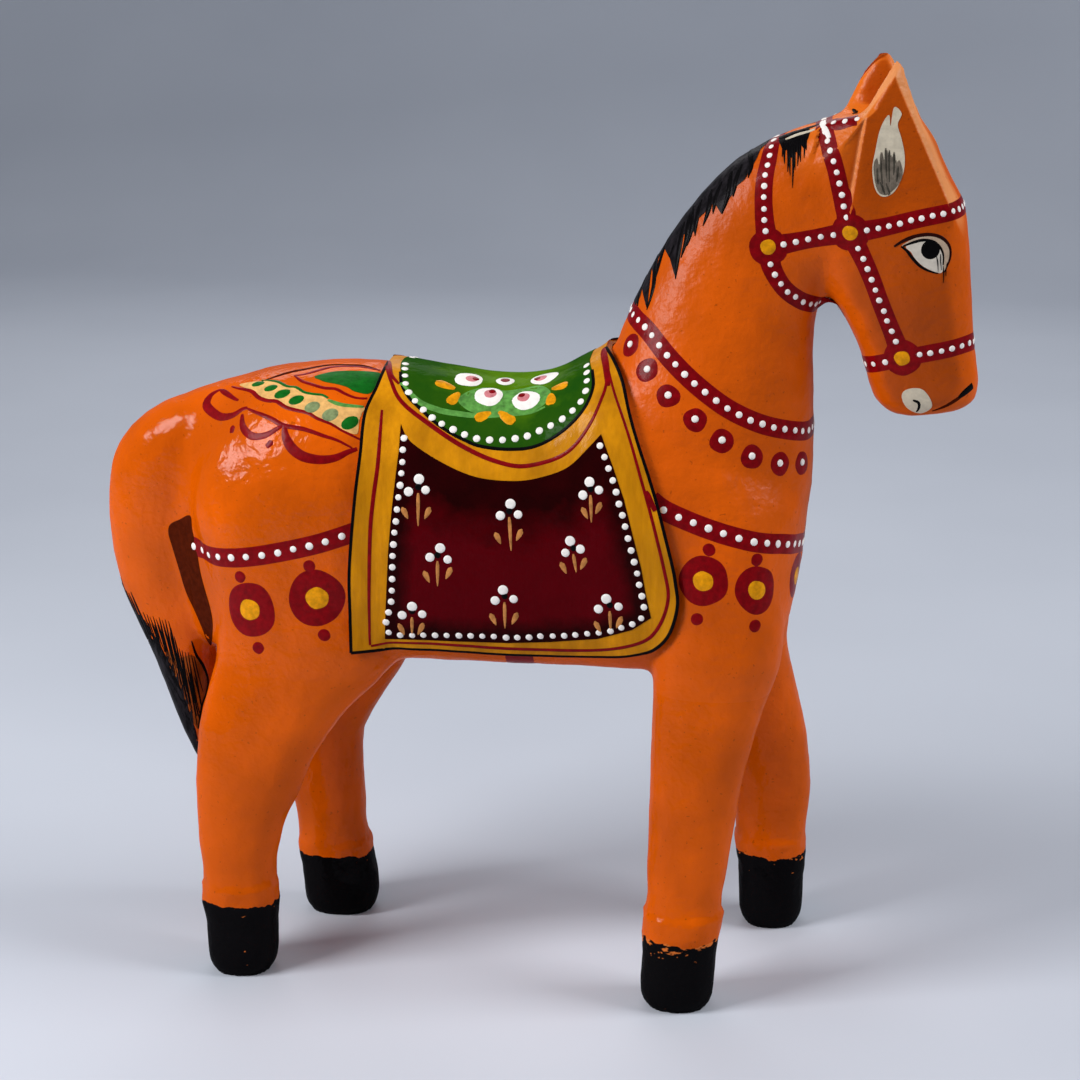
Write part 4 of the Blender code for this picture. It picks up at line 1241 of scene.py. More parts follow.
def relaxed(mesh, points, passes, pull=0.5, push=-0.53):
    """Smooths facets away without shrinking: each pass pulls points together and pushes back."""
    edges = np.empty(len(mesh.edges) * 2, np.int64)
    mesh.edges.foreach_get("vertices", edges)
    first, second = edges.reshape(-1, 2).T
    starts = np.concatenate((first, second))
    ends = np.concatenate((second, first))
    count = len(points)
    shares = np.bincount(starts, minlength=count)[:, None]
    for _ in range(passes):
        for step in (pull, push):
            sums = np.stack([np.bincount(starts, weights=points[ends, k], minlength=count)
                             for k in range(3)], axis=1)
            points = points + step * (sums / shares - points)
    return points


def clipped(values):
    return np.clip(values, 0.0, 1.0)


def bell(distance, reach):
    return np.exp(-(distance / reach) ** 2)


def gesso(points):
    """Height of the lumps and brush ridges that gesso leaves, in shares of their size."""
    heights = np.empty(len(points))
    for k, point in enumerate(points):
        place = Vector(point)
        heights[k] = (0.62 * noise.noise(place / (13 * MM))
                      + 0.38 * noise.noise(place / (6 * MM) + Vector((7, 3, 5)))
                      + 0.17 * noise.noise(place / (2.9 * MM)))
    return heights


def fetlock_ridges(points, lumps):
    """The thick lumpy ring of paint round each leg, from the black hoof up to a ragged edge."""
    lift = np.zeros(len(points))
    for node, top, size in FETLOCK_RINGS:
        low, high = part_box(node)
        near = ((points[:, 0] > low.x) & (points[:, 0] < high.x)
                & (points[:, 1] > low.y) & (points[:, 1] < high.y))
        height = points[:, 2] - (top + 2.2 * lumps) * MM
        ring = clipped(0.5 - height / (1.2 * MM)) * clipped((points[:, 2] - 17 * MM) / (7 * MM))
        waist = -0.4 * MM * bell(height - 6 * MM, 5 * MM)
        lift += np.where(near, (size + 0.8 * lumps) * MM * ring + waist, 0.0)
    return lift


def side_distance(points, start, end):
    """Signed distance in x and z from a line; it's positive to the left of its direction."""
    along = np.array((end[0] - start[0], end[1] - start[1]))
    along /= np.linalg.norm(along)
    gap = points[:, (0, 2)] - np.array(start)
    return gap[:, 1] * along[0] - gap[:, 0] * along[1]


def finer_region(mesh, low, high, cuts):
    """Divides the faces of a box-shaped region, where the carving has crisp edges."""
    bm = opened(mesh)
    inner = {vertex for vertex in bm.verts
             if all(low[k] < vertex.co[k] < high[k] for k in range(3))}
    edges = [edge for edge in bm.edges if edge.verts[0] in inner and edge.verts[1] in inner]
    bmesh.ops.subdivide_edges(bm, edges=edges, cuts=cuts, use_grid_fill=True)
    stored(bm, mesh)


def keep_shares(mesh, name, shares):
    """Keeps a number for each point of a mesh, for its material to read."""
    kept = mesh.attributes.new(name, 'FLOAT', 'POINT')
    kept.data.foreach_set("value", shares.astype(np.float32))


def edge_share(distance, start, width):
    """One along a chamfer, from a little past its start, falling to nothing at twice its width."""
    return clipped(distance / (start * MM)) * clipped(2 - distance / (width * MM))


def plane_ears(mesh):
    """Cuts the ears' flat sides, which run down into the cheeks, and their chamfered edges."""
    finer_region(mesh, *EAR_REGION, 2)
    tip, front, rear, root = side_outline(
        Surface(mesh), (EAR_TIP, EAR_FRONT, EAR_REAR, EAR_ROOT))
    system = np.array([(x, z, 1.0) for x, z in (tip, front, root)])
    slopes = np.linalg.solve(system, np.array(EAR_DEPTHS))
    points = mesh_points(mesh)
    sideways = np.sign(points[:, 1]) * mesh_normals(mesh)[:, 1]
    flat = points[:, 0] * slopes[0] + points[:, 2] * slopes[1] + slopes[2]
    ahead = np.maximum(side_distance(points, tip, front), 0.0)
    behind = np.maximum(side_distance(points, rear, tip), 0.0)
    below = np.maximum(side_distance(points, root, rear), 0.0)
    step = EAR_ROOT_STEP * clipped(below / (1.1 * MM)) * clipped(1 - below / EAR_ROOT_REACH)
    wanted = (flat - EAR_FRONT_SLOPE * ahead - EAR_REAR_SLOPE * behind
              - np.where(behind > 0, 0.0, step))
    depth = np.abs(points[:, 1])
    beyond = np.maximum(np.maximum(ahead, behind), below)
    added = 1.5 * MM * clipped(1 - beyond / (3 * MM)) * clipped((sideways - 0.2) / 0.4)
    new_depth = np.minimum(depth + added, np.maximum(wanted, EAR_LEAST_DEPTH))
    new_depth = np.where((below > EAR_ROOT_REACH) | (depth < EAR_LEAST_DEPTH), depth, new_depth)
    fade = clipped((points[:, 2] - EAR_FADE_HEIGHT) / EAR_FADE_REACH)
    fade = fade * fade * (3 - 2 * fade) * (points[:, 0] > HEAD_START)
    points[:, 1] = np.sign(points[:, 1]) * (depth + (new_depth - depth) * fade)
    share = clipped((points[:, 2] - EAR_POINT_HEIGHT) / EAR_POINT_REACH)[:, None]
    points += (relaxed(mesh, points, 5, push=0.0) - points) * share
    set_points(mesh, points)
    # The chamfer share marks where the head's lacquer paints a highlight along the ears' edges
    above_root = clipped((points[:, 2] - rear[1]) / (3 * MM) + 0.5)
    front_edge = edge_share(ahead, 0.5, 3.5)
    rear_edge = edge_share(behind, 0.4, 1.8) * above_root
    root_edge = edge_share(below, 0.4, 0.9) * (1 - above_root)
    edges = np.maximum(front_edge, rear_edge) + 0.6 * root_edge
    outside = clipped((depth - 5 * MM) / (3 * MM))
    keep_shares(mesh, "chamfer", edges * outside * fade)


def carved_skin():
    """The horse's skin with its carving and its uneven gesso."""
    mesh = rough_skin()
    points = relaxed(mesh, mesh_points(mesh), SMOOTHING_PASSES)
    set_points(mesh, points)
    points = points - mesh_normals(mesh) * SKIN_SWELL
    waist = bell(points[:, 2] - TAIL_WAIST_HEIGHT, 20 * MM)
    points[:, 0] += CARVE_DEPTH * waist * clipped((-points[:, 0] - TAIL_START) / (12 * MM))
    chest = bell(points[:, 2] - CHEST_HEIGHT, 17 * MM)
    points[:, 0] -= CARVE_DEPTH * chest * clipped((points[:, 0] - CHEST_START) / (20 * MM))
    set_points(mesh, points)
    lumps = gesso(points)
    lift = fetlock_ridges(points, lumps) + sizes().gesso_lumps * lumps
    upright = clipped(points[:, 2] / (3 * MM))
    points = points + mesh_normals(mesh) * (lift * upright)[:, None]
    points[:, 2] = np.maximum(points[:, 2], 0.0)
    sole = points[:, 2] < SOLE_HEIGHT
    points[sole, 2] = 0.0
    set_points(mesh, points)
    plane_ears(mesh)
    return mesh


def joint_plane(joint):
    """A point of a glue joint and its normal, from the two dowels that cross it."""
    ends = []
    for end in ("upper", "lower"):
        low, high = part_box(f"dowel_{joint}_{end}")
        ends.append((low + high) / 2)
    along = (ends[1] - ends[0]).normalized()
    return ends[0], Vector((-along.z, 0.0, along.x))


def block_planes():
    """For each block, the planes that bound it: a point, and the direction that is kept."""
    neck_at, neck_up = joint_plane("neck")
    head_at, head_on = joint_plane("head")
    tail_at, tail_on = joint_plane("tail")
    leg_top = Vector((0.0, 0.0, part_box("fore_leg_near")[1].z))
    down = Vector((0, 0, -1))
    ahead = Vector((1, 0, 0))
    near = Vector((0, -1, 0))
    middle = Vector()
    before_tail = (tail_at, tail_on)
    below = (leg_top, down)
    return {
        "torso": (before_tail, (leg_top, -down), (neck_at, -neck_up)),
        "neck": ((neck_at, neck_up), (head_at, -head_on)),
        "head": ((head_at, head_on), (neck_at, neck_up)),
        "tail": ((tail_at, -tail_on),),
        "fore_leg_near": (below, (middle, ahead), (middle, near)),
        "fore_leg_far": (below, (middle, ahead), (middle, -near)),
        "hind_leg_near": (below, before_tail, (middle, -ahead), (middle, near)),
        "hind_leg_far": (below, before_tail, (middle, -ahead), (middle, -near)),
    }


def parted(skin, planes):
    """The part of the skin on the kept side of every plane, closed where it was cut."""
    bm = opened(skin)
    for point, kept in planes:
        bmesh.ops.bisect_plane(bm, geom=bm.verts[:] + bm.edges[:] + bm.faces[:], dist=1e-7,
                               plane_co=point, plane_no=kept, clear_inner=True)
        rims = [edge for edge in bm.edges if edge.is_boundary]
        bmesh.ops.holes_fill(bm, edges=rims, sides=0)
    bmesh.ops.triangulate(bm, faces=[face for face in bm.faces if len(face.verts) > 4])
    return stored(bm, bpy.data.meshes.new("block"))


def keep_skin_normals(mesh, surface, planes):
    """Gives the points at the cuts the whole skin's normals, so that no joint shows."""
    normals = [normal.vector.copy() for normal in mesh.vertex_normals]
    for k, vertex in enumerate(mesh.vertices):
        if any(abs((vertex.co - point).dot(kept)) < 0.02 * MM for point, kept in planes):
            normals[k] = surface.nearest(vertex.co)[1]
    mesh.normals_split_custom_set_from_vertices(normals)


def add_flat_shade_share(mesh):
    """Keeps how far each point of the head lies on its flat sides, as an attribute from 0 to 1; the
    head's lacquer paints shade there.
    """
    points = mesh_points(mesh)
    level = clipped((np.abs(mesh_normals(mesh)[:, 1]) - 0.84) / 0.1)
    ahead = clipped((points[:, 0] - FACE_START) / (8 * MM))
    keep_shares(mesh, "flat", level * ahead)


class Workshop:
    """What the operators share: the whole skin and the cloth's outer skin."""

    skin = None
    body = None
    tail_mesh = None
    tail = None
    broad = None
    cloth = None
    cloth_mesh = None


class HORSE_OT_blocks(bpy.types.Operator):
    """Carves the skin and parts it at the glue joints into lacquered blocks"""

    bl_idname = "horse.blocks"
    bl_label = "Lacquered blocks"

    def execute(self, context):
        Workshop.skin = carved_skin()
        Workshop.body = Surface(Workshop.skin)
        orange = lacquer()
        for node, planes in block_planes().items():
            mesh = parted(Workshop.skin, planes)
            material = orange
            # The head's lacquer paints shade on its flat sides, and highlights on its chamfers and
            # ear tips
            if node == "head":
                material = lacquer("head_lacquer", painted_head_light=True)
                add_flat_shade_share(mesh)
            else:
                mesh.attributes.remove(mesh.attributes["chamfer"])
            if node in HOOF_EDGES:
                edge, chips = HOOF_EDGES[node]
                material = dipped_lacquer(node + "_lacquer", edge * MM, HOOF_EDGE_WANDER, chips)
            if node == "tail":
                Workshop.tail_mesh = mesh.copy()
                Workshop.tail = Surface(Workshop.tail_mesh)
            coated(mesh, material).shade_smooth()
            keep_skin_normals(mesh, Workshop.body, planes)
            obj = finished(node + "_skin", mesh, sharp=None, replaced=(node,))
            if not obj.data.polygons:
                raise RuntimeError(node + " came out empty")
        Workshop.skin.attributes.remove(Workshop.skin.attributes["chamfer"])
        return {'FINISHED'}


class HORSE_OT_dowels(bpy.types.Operator):
    """Gives the blind dowels their bare wood"""

    bl_idname = "horse.dowels"
    bl_label = "Dowels"

    def execute(self, context):
        wood = bare_wood()
        for node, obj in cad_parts.items():
            if node.startswith("dowel_"):
                for slot in obj.material_slots:
                    slot.material = wood
        return {'FINISHED'}


def coarse_copy(mesh, cell):
    """The same skin with larger cells, for the broad layers of the cloth."""
    coarse = remeshed(mesh.copy(), cell)
    set_points(coarse, relaxed(coarse, mesh_points(coarse), 6))
    return coarse


def above_ridge(outline):
    """Closes an outline well above the ridge, so that the layer runs over the back."""
    return outline + [(x, z + CLOTH_OVER_RIDGE) for x, z in (outline[-1], outline[0])]


def add_rim_distance(mesh, outline, wide=()):
    """Keeps each point's distance from an outline, seen from the side, as an attribute.

    Beside the edges named wide, the distance counts for less, so the dark rim is wider there.
    """
    ring = np.array(outline)
    after = np.roll(ring, -1, axis=0)
    spans = after - ring
    places = mesh_points(mesh)[:, (0, 2)]
    best = np.full(len(places), 1.0)
    for k, (start, span) in enumerate(zip(ring, spans)):
        along = clipped(((places - start) @ span) / (span @ span))
        gaps = places - (start + along[:, None] * span)
        share = 0.4 if k in wide else 1.0
        best = np.minimum(best, np.hypot(gaps[:, 0], gaps[:, 1]) * share)
    keep_shares(mesh, "rim", best)


class HORSE_OT_saddle_cloth(bpy.types.Operator):
    """Lays the ochre saddle cloth over the back, with its fine black and crimson lines"""

    bl_idname = "horse.saddle_cloth"
    bl_label = "Saddle cloth"

    def execute(self, context):
        Workshop.broad = coarse_copy(Workshop.skin, CLOTH_CELL)
        rise = sizes().cloth_rise
        Workshop.cloth_mesh = swelled(Workshop.broad, rise)
        Workshop.cloth = Surface(Workshop.cloth_mesh)
        edge = side_outline(Workshop.cloth, CLOTH_EDGE)
        mesh = coated(layer(Workshop.broad, above_ridge(edge), 0.2 * MM, rise), cloth_ochre())
        cloth = finished("saddle_cloth_skin", mesh, sharp=35,
                         replaced=("saddle_cloth",))
        lines = Relief(Workshop.cloth)
        for pixels in (CLOTH_EDGE[:CLOTH_CORNER + 1], CLOTH_EDGE[CLOTH_CORNER:]):
            lines.stroke(pixels, 1.0, 0.12, across=4)
        lines.piece("cloth_black_line", "black")
        red = Relief(Workshop.cloth)
        for pixels, width in ((REAR_CRIMSON, 1.3), (HEM_CRIMSON, 1.2), (SEAT_CRIMSON, 1.5),
                              (REAR_TOP_CRIMSON, 1.5), (FORK_CRIMSON, 2.4)):
            red.stroke(pixels, width, 0.13, taper=(0.6, 0.6))
        red.stroke(BREAST_STUB, 1.7, 0.16, step=0.8 * MM, across=6, taper=(0.5, 0.8))
        red.piece("cloth_crimson_line", "crimson")
        return {'FINISHED'}


class HORSE_OT_maroon_field(bpy.types.Operator):
    """Paints the maroon field of the cloth with its row of dots and flower sprigs"""

    bl_idname = "horse.maroon_field"
    bl_label = "Maroon field"

    def execute(self, context):
        cloth = Workshop.cloth
        rise = sizes().cloth_rise
        arc = curve_outline(MAROON_FIELD[:MAROON_ARC], 6.0, closed=False)
        outline = side_outline(cloth, arc + list(MAROON_FIELD[MAROON_ARC:]))
        mesh = layer(Workshop.broad, outline, rise - SINK, rise + THIN_PAINT)
        add_rim_distance(mesh, outline, wide=range(len(arc) - 1))
        coated(mesh, field_paint("maroon_field_paint", tuple(colours().maroon), MAROON_RIM,
                                 MAROON_RIM_REACH))
        finished("maroon_field", mesh, sharp=35)
        beads("maroon_beads", routes_for(cloth, MAROON_BEADS), Workshop.cloth_mesh,
              2.3 * MM, 3.75 * MM, FIELD_DOT_HEIGHT)
        dots = Relief(cloth)
        hearts = Relief(cloth)
        stems = Relief(cloth)
        for sprig in SPRIGS:
            hearts.dabs((sprig[3][0], sprig[3][1] - 6), 1.15, 0.3, sides=12)
            for pixel, radius in zip(sprig, SPRIG_DOT_RADII):
                dots.dabs(pixel, radius, 0.36, sides=16)
            stems.stroke(sprig[3:5], 1.3, 0.27, step=1.5 * MM, taper=(0.5, 0.3))
            for leaf, lean in ((sprig[5], -1), (sprig[6], 1)):
                top = (leaf[0] + lean * 2.8, leaf[1] - 5.8)
                foot = (leaf[0] - lean * 2.8, leaf[1] + 5.8)
                stems.stroke((top, leaf, foot), 2.1, 0.27, step=0.9 * MM, taper=(0.25, 0.15))
        dots.piece("sprig_dots", "white")
        hearts.piece("sprig_hearts", "black")
        stems.piece("sprig_leaves", "tan")
        return {'FINISHED'}


class HORSE_OT_seat(bpy.types.Operator):
    """Paints the green seat with its dots, petals and leaves, and a painted highlight across it in
    light green
    """

    bl_idname = "horse.seat"
    bl_label = "Green seat"

    def execute(self, context):
        cloth = Workshop.cloth
        rise = sizes().cloth_rise
        outline = above_ridge(side_outline(cloth, SEAT_EDGE))
        mesh = layer(Workshop.broad, outline, rise - SINK, rise + THIN_PAINT)
        add_rim_distance(mesh, outline)
        coated(mesh, field_paint("green_seat_paint", SEAT_GREEN, shade(colours().green, 0.5),
                                 SEAT_RIM_REACH))
        finished("green_seat", mesh, sharp=35)
        edge = Relief(cloth)
        edge.stroke(SEAT_EDGE[1:-1], 1.3, 0.2, across=4)
        edge.piece("seat_black_line", "black")
        beads("seat_beads", routes_for(cloth, SEAT_BEADS), Workshop.cloth_mesh,
              2.5 * MM, 3.9 * MM, 0.42 * MM)
        # A painted highlight across the seat, in light green
        light = Relief(cloth)
        light.stroke(SEAT_HIGHLIGHT_CRESCENT, 2.6, 0.22, across=6, taper=(0.5, 0.3))
        light.patch(SEAT_HIGHLIGHT_PATCH, 0.17)
        light.piece("seat_light_green", "leaf_green")
        petals = Relief(cloth)
        blush = Relief(cloth)
        eyes = Relief(cloth)
        middle = cloth.seen(SEAT_RING)[0]
        centres = [cloth.seen(pixel)[0] for pixel in SEAT_END_PETALS]
        for pixel in SEAT_SIDE_PETALS:
            centres += both(cloth, pixel)
        for place in centres:
            inward = (middle - place).normalized()
            petals.spot(place, 4.7 * MM, 0.42 * MM, shape=uneven_round(place.x * 900), sides=24)
            blush.spot(place + inward * 1.1 * MM, 2.5 * MM, 0.5 * MM, sides=18)
            eyes.spot(place + inward * 2.3 * MM, 1.35 * MM, 0.58 * MM, sides=14)
        petals.spot(middle, 3.1 * MM, 0.42 * MM, sides=20)
        eyes.spot(middle, 1.9 * MM, 0.5 * MM, sides=16)
        petals.piece("seat_petals", "white")
        blush.piece("seat_petal_blush", "pink")
        eyes.piece("seat_petal_eyes", "crimson")
        leaves = Relief(cloth)
        for pixels in SEAT_LEAVES:
            leaves.stroke(pixels, 3.7, 0.35, step=0.8 * MM, across=6, taper=(0.45, 0.3))
        leaves.piece("seat_leaves", "ochre")
        return {'FINISHED'}


class HORSE_OT_bands(bpy.types.Operator):
    """Paints the neck, breast and hip bands with their dots, pendants and medallions"""

    bl_idname = "horse.bands"
    bl_label = "Harness bands"

    def execute(self, context):
        body = Workshop.body
        width = sizes().band_width
        red = Relief(body)
        yellow = Relief(body)
        pale = Relief(body)
        neck = routes_for(body, NECK_BAND, over_start=True, over_end=True)
        breast = routes_for(body, BREAST_BAND, over_end=True)
        hip = routes_for(body, HIP_BAND)
        for routes, share in ((neck, 1.0), (breast, 1.05), (hip, 1.05)):
            for route in routes:
                red.band(route, width * share, across=7)
        girth = body.seen(GIRTH_MARK)[0]
        low = over_middle(body, Vector((girth.x, girth.y, girth.z - 12 * MM)))
        red.band(smooth_route([girth, low, mirrored(girth)], 1.5 * MM), GIRTH_WIDTH, across=9)
        for k, pixel in enumerate(NECK_PENDANTS):
            for centre in both(body, pixel):
                red.spot(centre, 3.75 * MM, shape=uneven_round(k))
                pale.spot(centre + Vector((0.0, 0.0, 0.3 * MM)), 1.15 * MM, 0.5 * MM, sides=14)
        medallions = [(place, radius) for u, v, radius in MEDALLIONS
                      for place in both(body, (u, v))]
        edge = body.seen(BREAST_EDGE)[0]
        inner = body.nearest(edge + Vector((3.2, 8.2, 0.0)) * MM)[0]
        medallions += [(inner, 7.4), (mirrored(inner), 7.4)]
        for k, (centre, radius) in enumerate(medallions):
            red.spot(centre, radius * MM, shape=uneven_round(k + 20, 0.09), sides=40)
            yellow.spot(centre, radius * 0.43 * MM, 0.3 * MM, shape=uneven_round(k + 40))
        for k, pixel in enumerate(PEA_MARKS):
            for centre in both(body, pixel):
                red.spot(centre, 2.0 * MM, shape=uneven_round(k + 60), sides=16)
        red.piece("harness_bands", "crimson")
        yellow.piece("medallion_centres", "ochre")
        pale.piece("pendant_dots", "white")
        for name, routes, pitch, share in (("neck", neck, 4.15, 1.12),
                                           ("breast", breast, 4.9, 1.25), ("hip", hip, 5.2, 1.25)):
            beads(name + "_band_dots", routes, Workshop.skin, sizes().dot_diameter * share,
                  pitch * MM, FIELD_DOT_HEIGHT)
        return {'FINISHED'}


def clear_of(route, centres, reach):
    """The parts of a route that stay clear of some places."""
    parts = [[]]
    for point in route:
        if min((point - centre).length for centre in centres) > reach:
            parts[-1].append(point)
        elif parts[-1]:
            parts.append([])
    return [part for part in parts if len(part) > 2]


def uneven_round(key, amount=0.13):
    """A hand-painted round: its radius wanders a little round the edge."""
    def radius(angle):
        place = Vector((cos(angle), sin(angle), key * 3.7))
        return 1.0 + amount * noise.noise(place)
    return radius


class HORSE_OT_bridle(bpy.types.Operator):
    """Paints the bridle straps with their dots and rosettes"""

    bl_idname = "horse.bridle"
    bl_label = "Bridle"

    def execute(self, context):
        body = Workshop.body
        red = Relief(body)
        yellow = Relief(body)
        dotted = []
        centres = [place for pixel in ROSETTES for place in both(body, pixel)]
        for pixels, over_start, over_end in (
                (CROWN_STRAP, False, True), (POLL_STRAP, False, True),
                (CHEEK_STRAP, False, False), (BROW_STRAP, False, True),
                (FACE_STRAP, False, False), (THROAT_STRAP, False, True),
                (NOSE_STRAP, True, True), (CREST_STRAP, False, False)):
            for route in routes_for(body, pixels, over_start, over_end):
                ends = [1.5 * MM if min((centre - end).length for centre in centres) < 3 * MM
                        else 0.0 for end in (route[0], route[-1])]
                red.band(route, sizes().strap_width, across=7, flare=ends)
                dotted += clear_of(route, centres, ROSETTE_CLEARANCE)
        for k, pixel in enumerate(ROSETTES):
            red.dabs(pixel, 5.8, 0.2, shape=uneven_round(k + 80), sides=28)
            yellow.dabs(pixel, 2.6, 0.4, shape=uneven_round(k + 90), sides=20)
        dab = Relief(body)
        dab.stroke(POLL_DAB, 2.1, 0.42, taper=(0.7, 0.6))
        dab.piece("poll_dab", "white")
        red.piece("bridle_straps", "crimson")
        yellow.piece("bridle_rosettes", "ochre")
        beads("bridle_dots", dotted, Workshop.skin, sizes().dot_diameter, sizes().dot_pitch,
              0.36 * MM)
        return {'FINISHED'}


class HORSE_OT_rump(bpy.types.Operator):
    """Paints the leaf, the pale band and the scallops on the rump"""

    bl_idname = "horse.rump"
    bl_label = "Rump ornament"

    def execute(self, context):
        body = Workshop.body
        pale = Relief(body)
        pale.patch(PALE_BAND, 0.12)
        pale.piece("rump_pale_band", "straw")
        leaf = Relief(body)
        leaf.patch(LEAF, 0.13, far_too=False)
        for u, v, radius in PALE_BAND_DROPS:
            leaf.dabs((u, v), radius, 0.24, shape=long_round(1.5, 0.5), sides=18)
        leaf.stroke(PALE_BAND_TOP_LINE, 1.3, 0.2, taper=(0.4, 0.6))
        leaf.piece("rump_leaf", "green")
        light = Relief(body)
        misty = Relief(body)
        for u, v, radius in PALE_BAND_LIGHT_DROPS:
            misty.dabs((u, v), radius, 0.24, shape=long_round(1.3, 0.5), sides=18)
        light.stroke(PALE_BAND_END_LINE, 1.6, 0.2, taper=(0.5, 0.6))
        light.piece("rump_light_green", "leaf_green")
        misty.piece("rump_misty_drops", "misty_green")
        red = Relief(body)
        for pixels, width in RUMP_LINES:
            red.stroke(pixels, width, 0.16, taper=(0.35, 0.35))
        red.stroke(LEAF_LOWER_LINE, 1.3, 0.15, taper=(0.5, 0.6))
        red.band(routes_for(body, LEAF_UPPER_LINE)[0], 1.5 * MM, 0.15 * MM, taper=(0.5, 0.6))
        ridge = Relief(body)
        ridge.band(routes_for(body, RIDGE_LINE)[0], 1.8 * MM, 0.15 * MM, taper=(0.4, 0.5))
        ridge.piece("rump_ridge_line", "brown")
        for pixels in RUMP_DROPS:
            red.stroke(pixels, 2.0, 0.16, step=0.6 * MM, taper=(0.3, 0.7))
        red.piece("rump_scallops", "crimson")
        return {'FINISHED'}


def long_round(stretch, turn):
    """An oval dab, longer along one direction."""
    def radius(angle):
        return 1.0 / sqrt((cos(angle - turn) / stretch) ** 2 + sin(angle - turn) ** 2)
    return radius


def back_hairs(surface, foot):
    """Routes side by side down the back of the tail's black end, ragged at their tops."""
    routes = []
    for k in range(BACK_HAIR_COUNT):
        across = (k - BACK_HAIR_COUNT // 2) * BACK_HAIR_GAP
        top = foot + (7 + 7 * noise.noise(Vector((k * 1.7, 0.4, 0.2)))) * MM
        route = []
        for step in range(9):
            height = top + (foot - 10 * MM - top) * step / 8
            found = surface.cast(Vector((-0.2, across, height)), Vector((1, 0, 0)))
            if found and found[1].x < -0.3:
                route.append(found[0])
        if len(route) > 4:
            routes.append(route)
    return routes


class HORSE_OT_tail(bpy.types.Operator):
    """Paints the tail's black end with brushed hairs, and the brown stripe beside it: dark paint in
    the groove, deepened as painted shade
    """

    bl_idname = "horse.tail"
    bl_label = "Tail paint"

    def execute(self, context):
        body = Workshop.tail
        ragged = side_outline(body, TAIL_BLACK)
        behind = min(x for x, z in ragged) - 20 * MM
        ahead = ragged[-1][0] + 20 * MM
        foot = ragged[-1][1]
        outline = ragged + [(ahead, foot), (ahead, foot - 20 * MM), (behind, foot - 20 * MM),
                            (behind, ragged[0][1])]
        # Black with grey streaks that paint the hair's sheen
        mesh = coated(layer(Workshop.tail_mesh, outline, -SINK, THIN_PAINT), hair_black_with_sheen())
        finished("tail_black", mesh)
        # A darker wash among the hairs, partly painted shade
        wash = Relief(body)
        wash.patch(TAIL_WASH_AND_SHADE, 0.10)
        wash.piece("tail_wash", "rust")
        dark = Relief(body)
        between = [tuple((a + b) / 2 + drop for a, b, drop in zip(first, second, (0, 7, 0, 9)))
                   for first, second in zip(TAIL_HAIRS, TAIL_HAIRS[1:])]
        dark.hairs(TAIL_HAIRS + tuple(between), 0.5, 0.17, taper=(0.1, 0.5), bend=0.5)
        dark.patch(TAIL_MASS, 0.16, grain=4.0, rounded=False)
        for route in back_hairs(body, ragged[0][1]):
            dark.band(route, 1.3 * MM, 0.17 * MM, taper=(0.1, 0.8))
        dark.stroke(TAIL_RIGHT_EDGE, 1.1, 0.16, taper=(0.3, 0.6))
        dark.piece("tail_hairs", "black")
        # Dark paint in the groove beside the tail, with the groove's shade painted in
        stripe = Relief(Workshop.body)
        stripe.patch(TAIL_GROOVE_STRIPE_AND_SHADE, 0.13)
        stripe.piece("tail_stripe", "brown")
        return {'FINISHED'}


class HORSE_OT_mane(bpy.types.Operator):
    """Paints the black mane with its spiked lower edge, and the tuft at the poll"""

    bl_idname = "horse.mane"
    bl_label = "Mane"

    def execute(self, context):
        body = Workshop.body
        ragged = side_outline(body, MANE_EDGE)
        outline = ragged + [(ragged[-1][0] - 14 * MM, ragged[-1][1] + 6 * MM),
                            (ragged[-1][0] + 2 * MM, ragged[0][1] + 30 * MM),
                            (ragged[0][0], ragged[0][1] + 30 * MM)]
        # Black with grey streaks that paint the hair's sheen
        mesh = coated(layer(Workshop.skin, outline, -SINK, 0.18 * MM), hair_black_with_sheen())
        finished("mane_black", mesh)
        strokes = Relief(body)
        strokes.hairs(MANE_HAIRS, 2.2, 0.3)
        strokes.patch(POLL_PATCH, 0.12)
        strokes.hairs(POLL_HAIRS, 0.8, 0.24, bend=0.6)
        strokes.stroke(POLL_RIDGE, 2.6, 0.2, taper=(1.0, 0.6))
        strokes.stroke(EAR_TUFT, 1.2, 0.2, step=0.5 * MM, taper=(0.5, 0.5))
        strokes.piece("mane_strokes", "black")
        return {'FINISHED'}


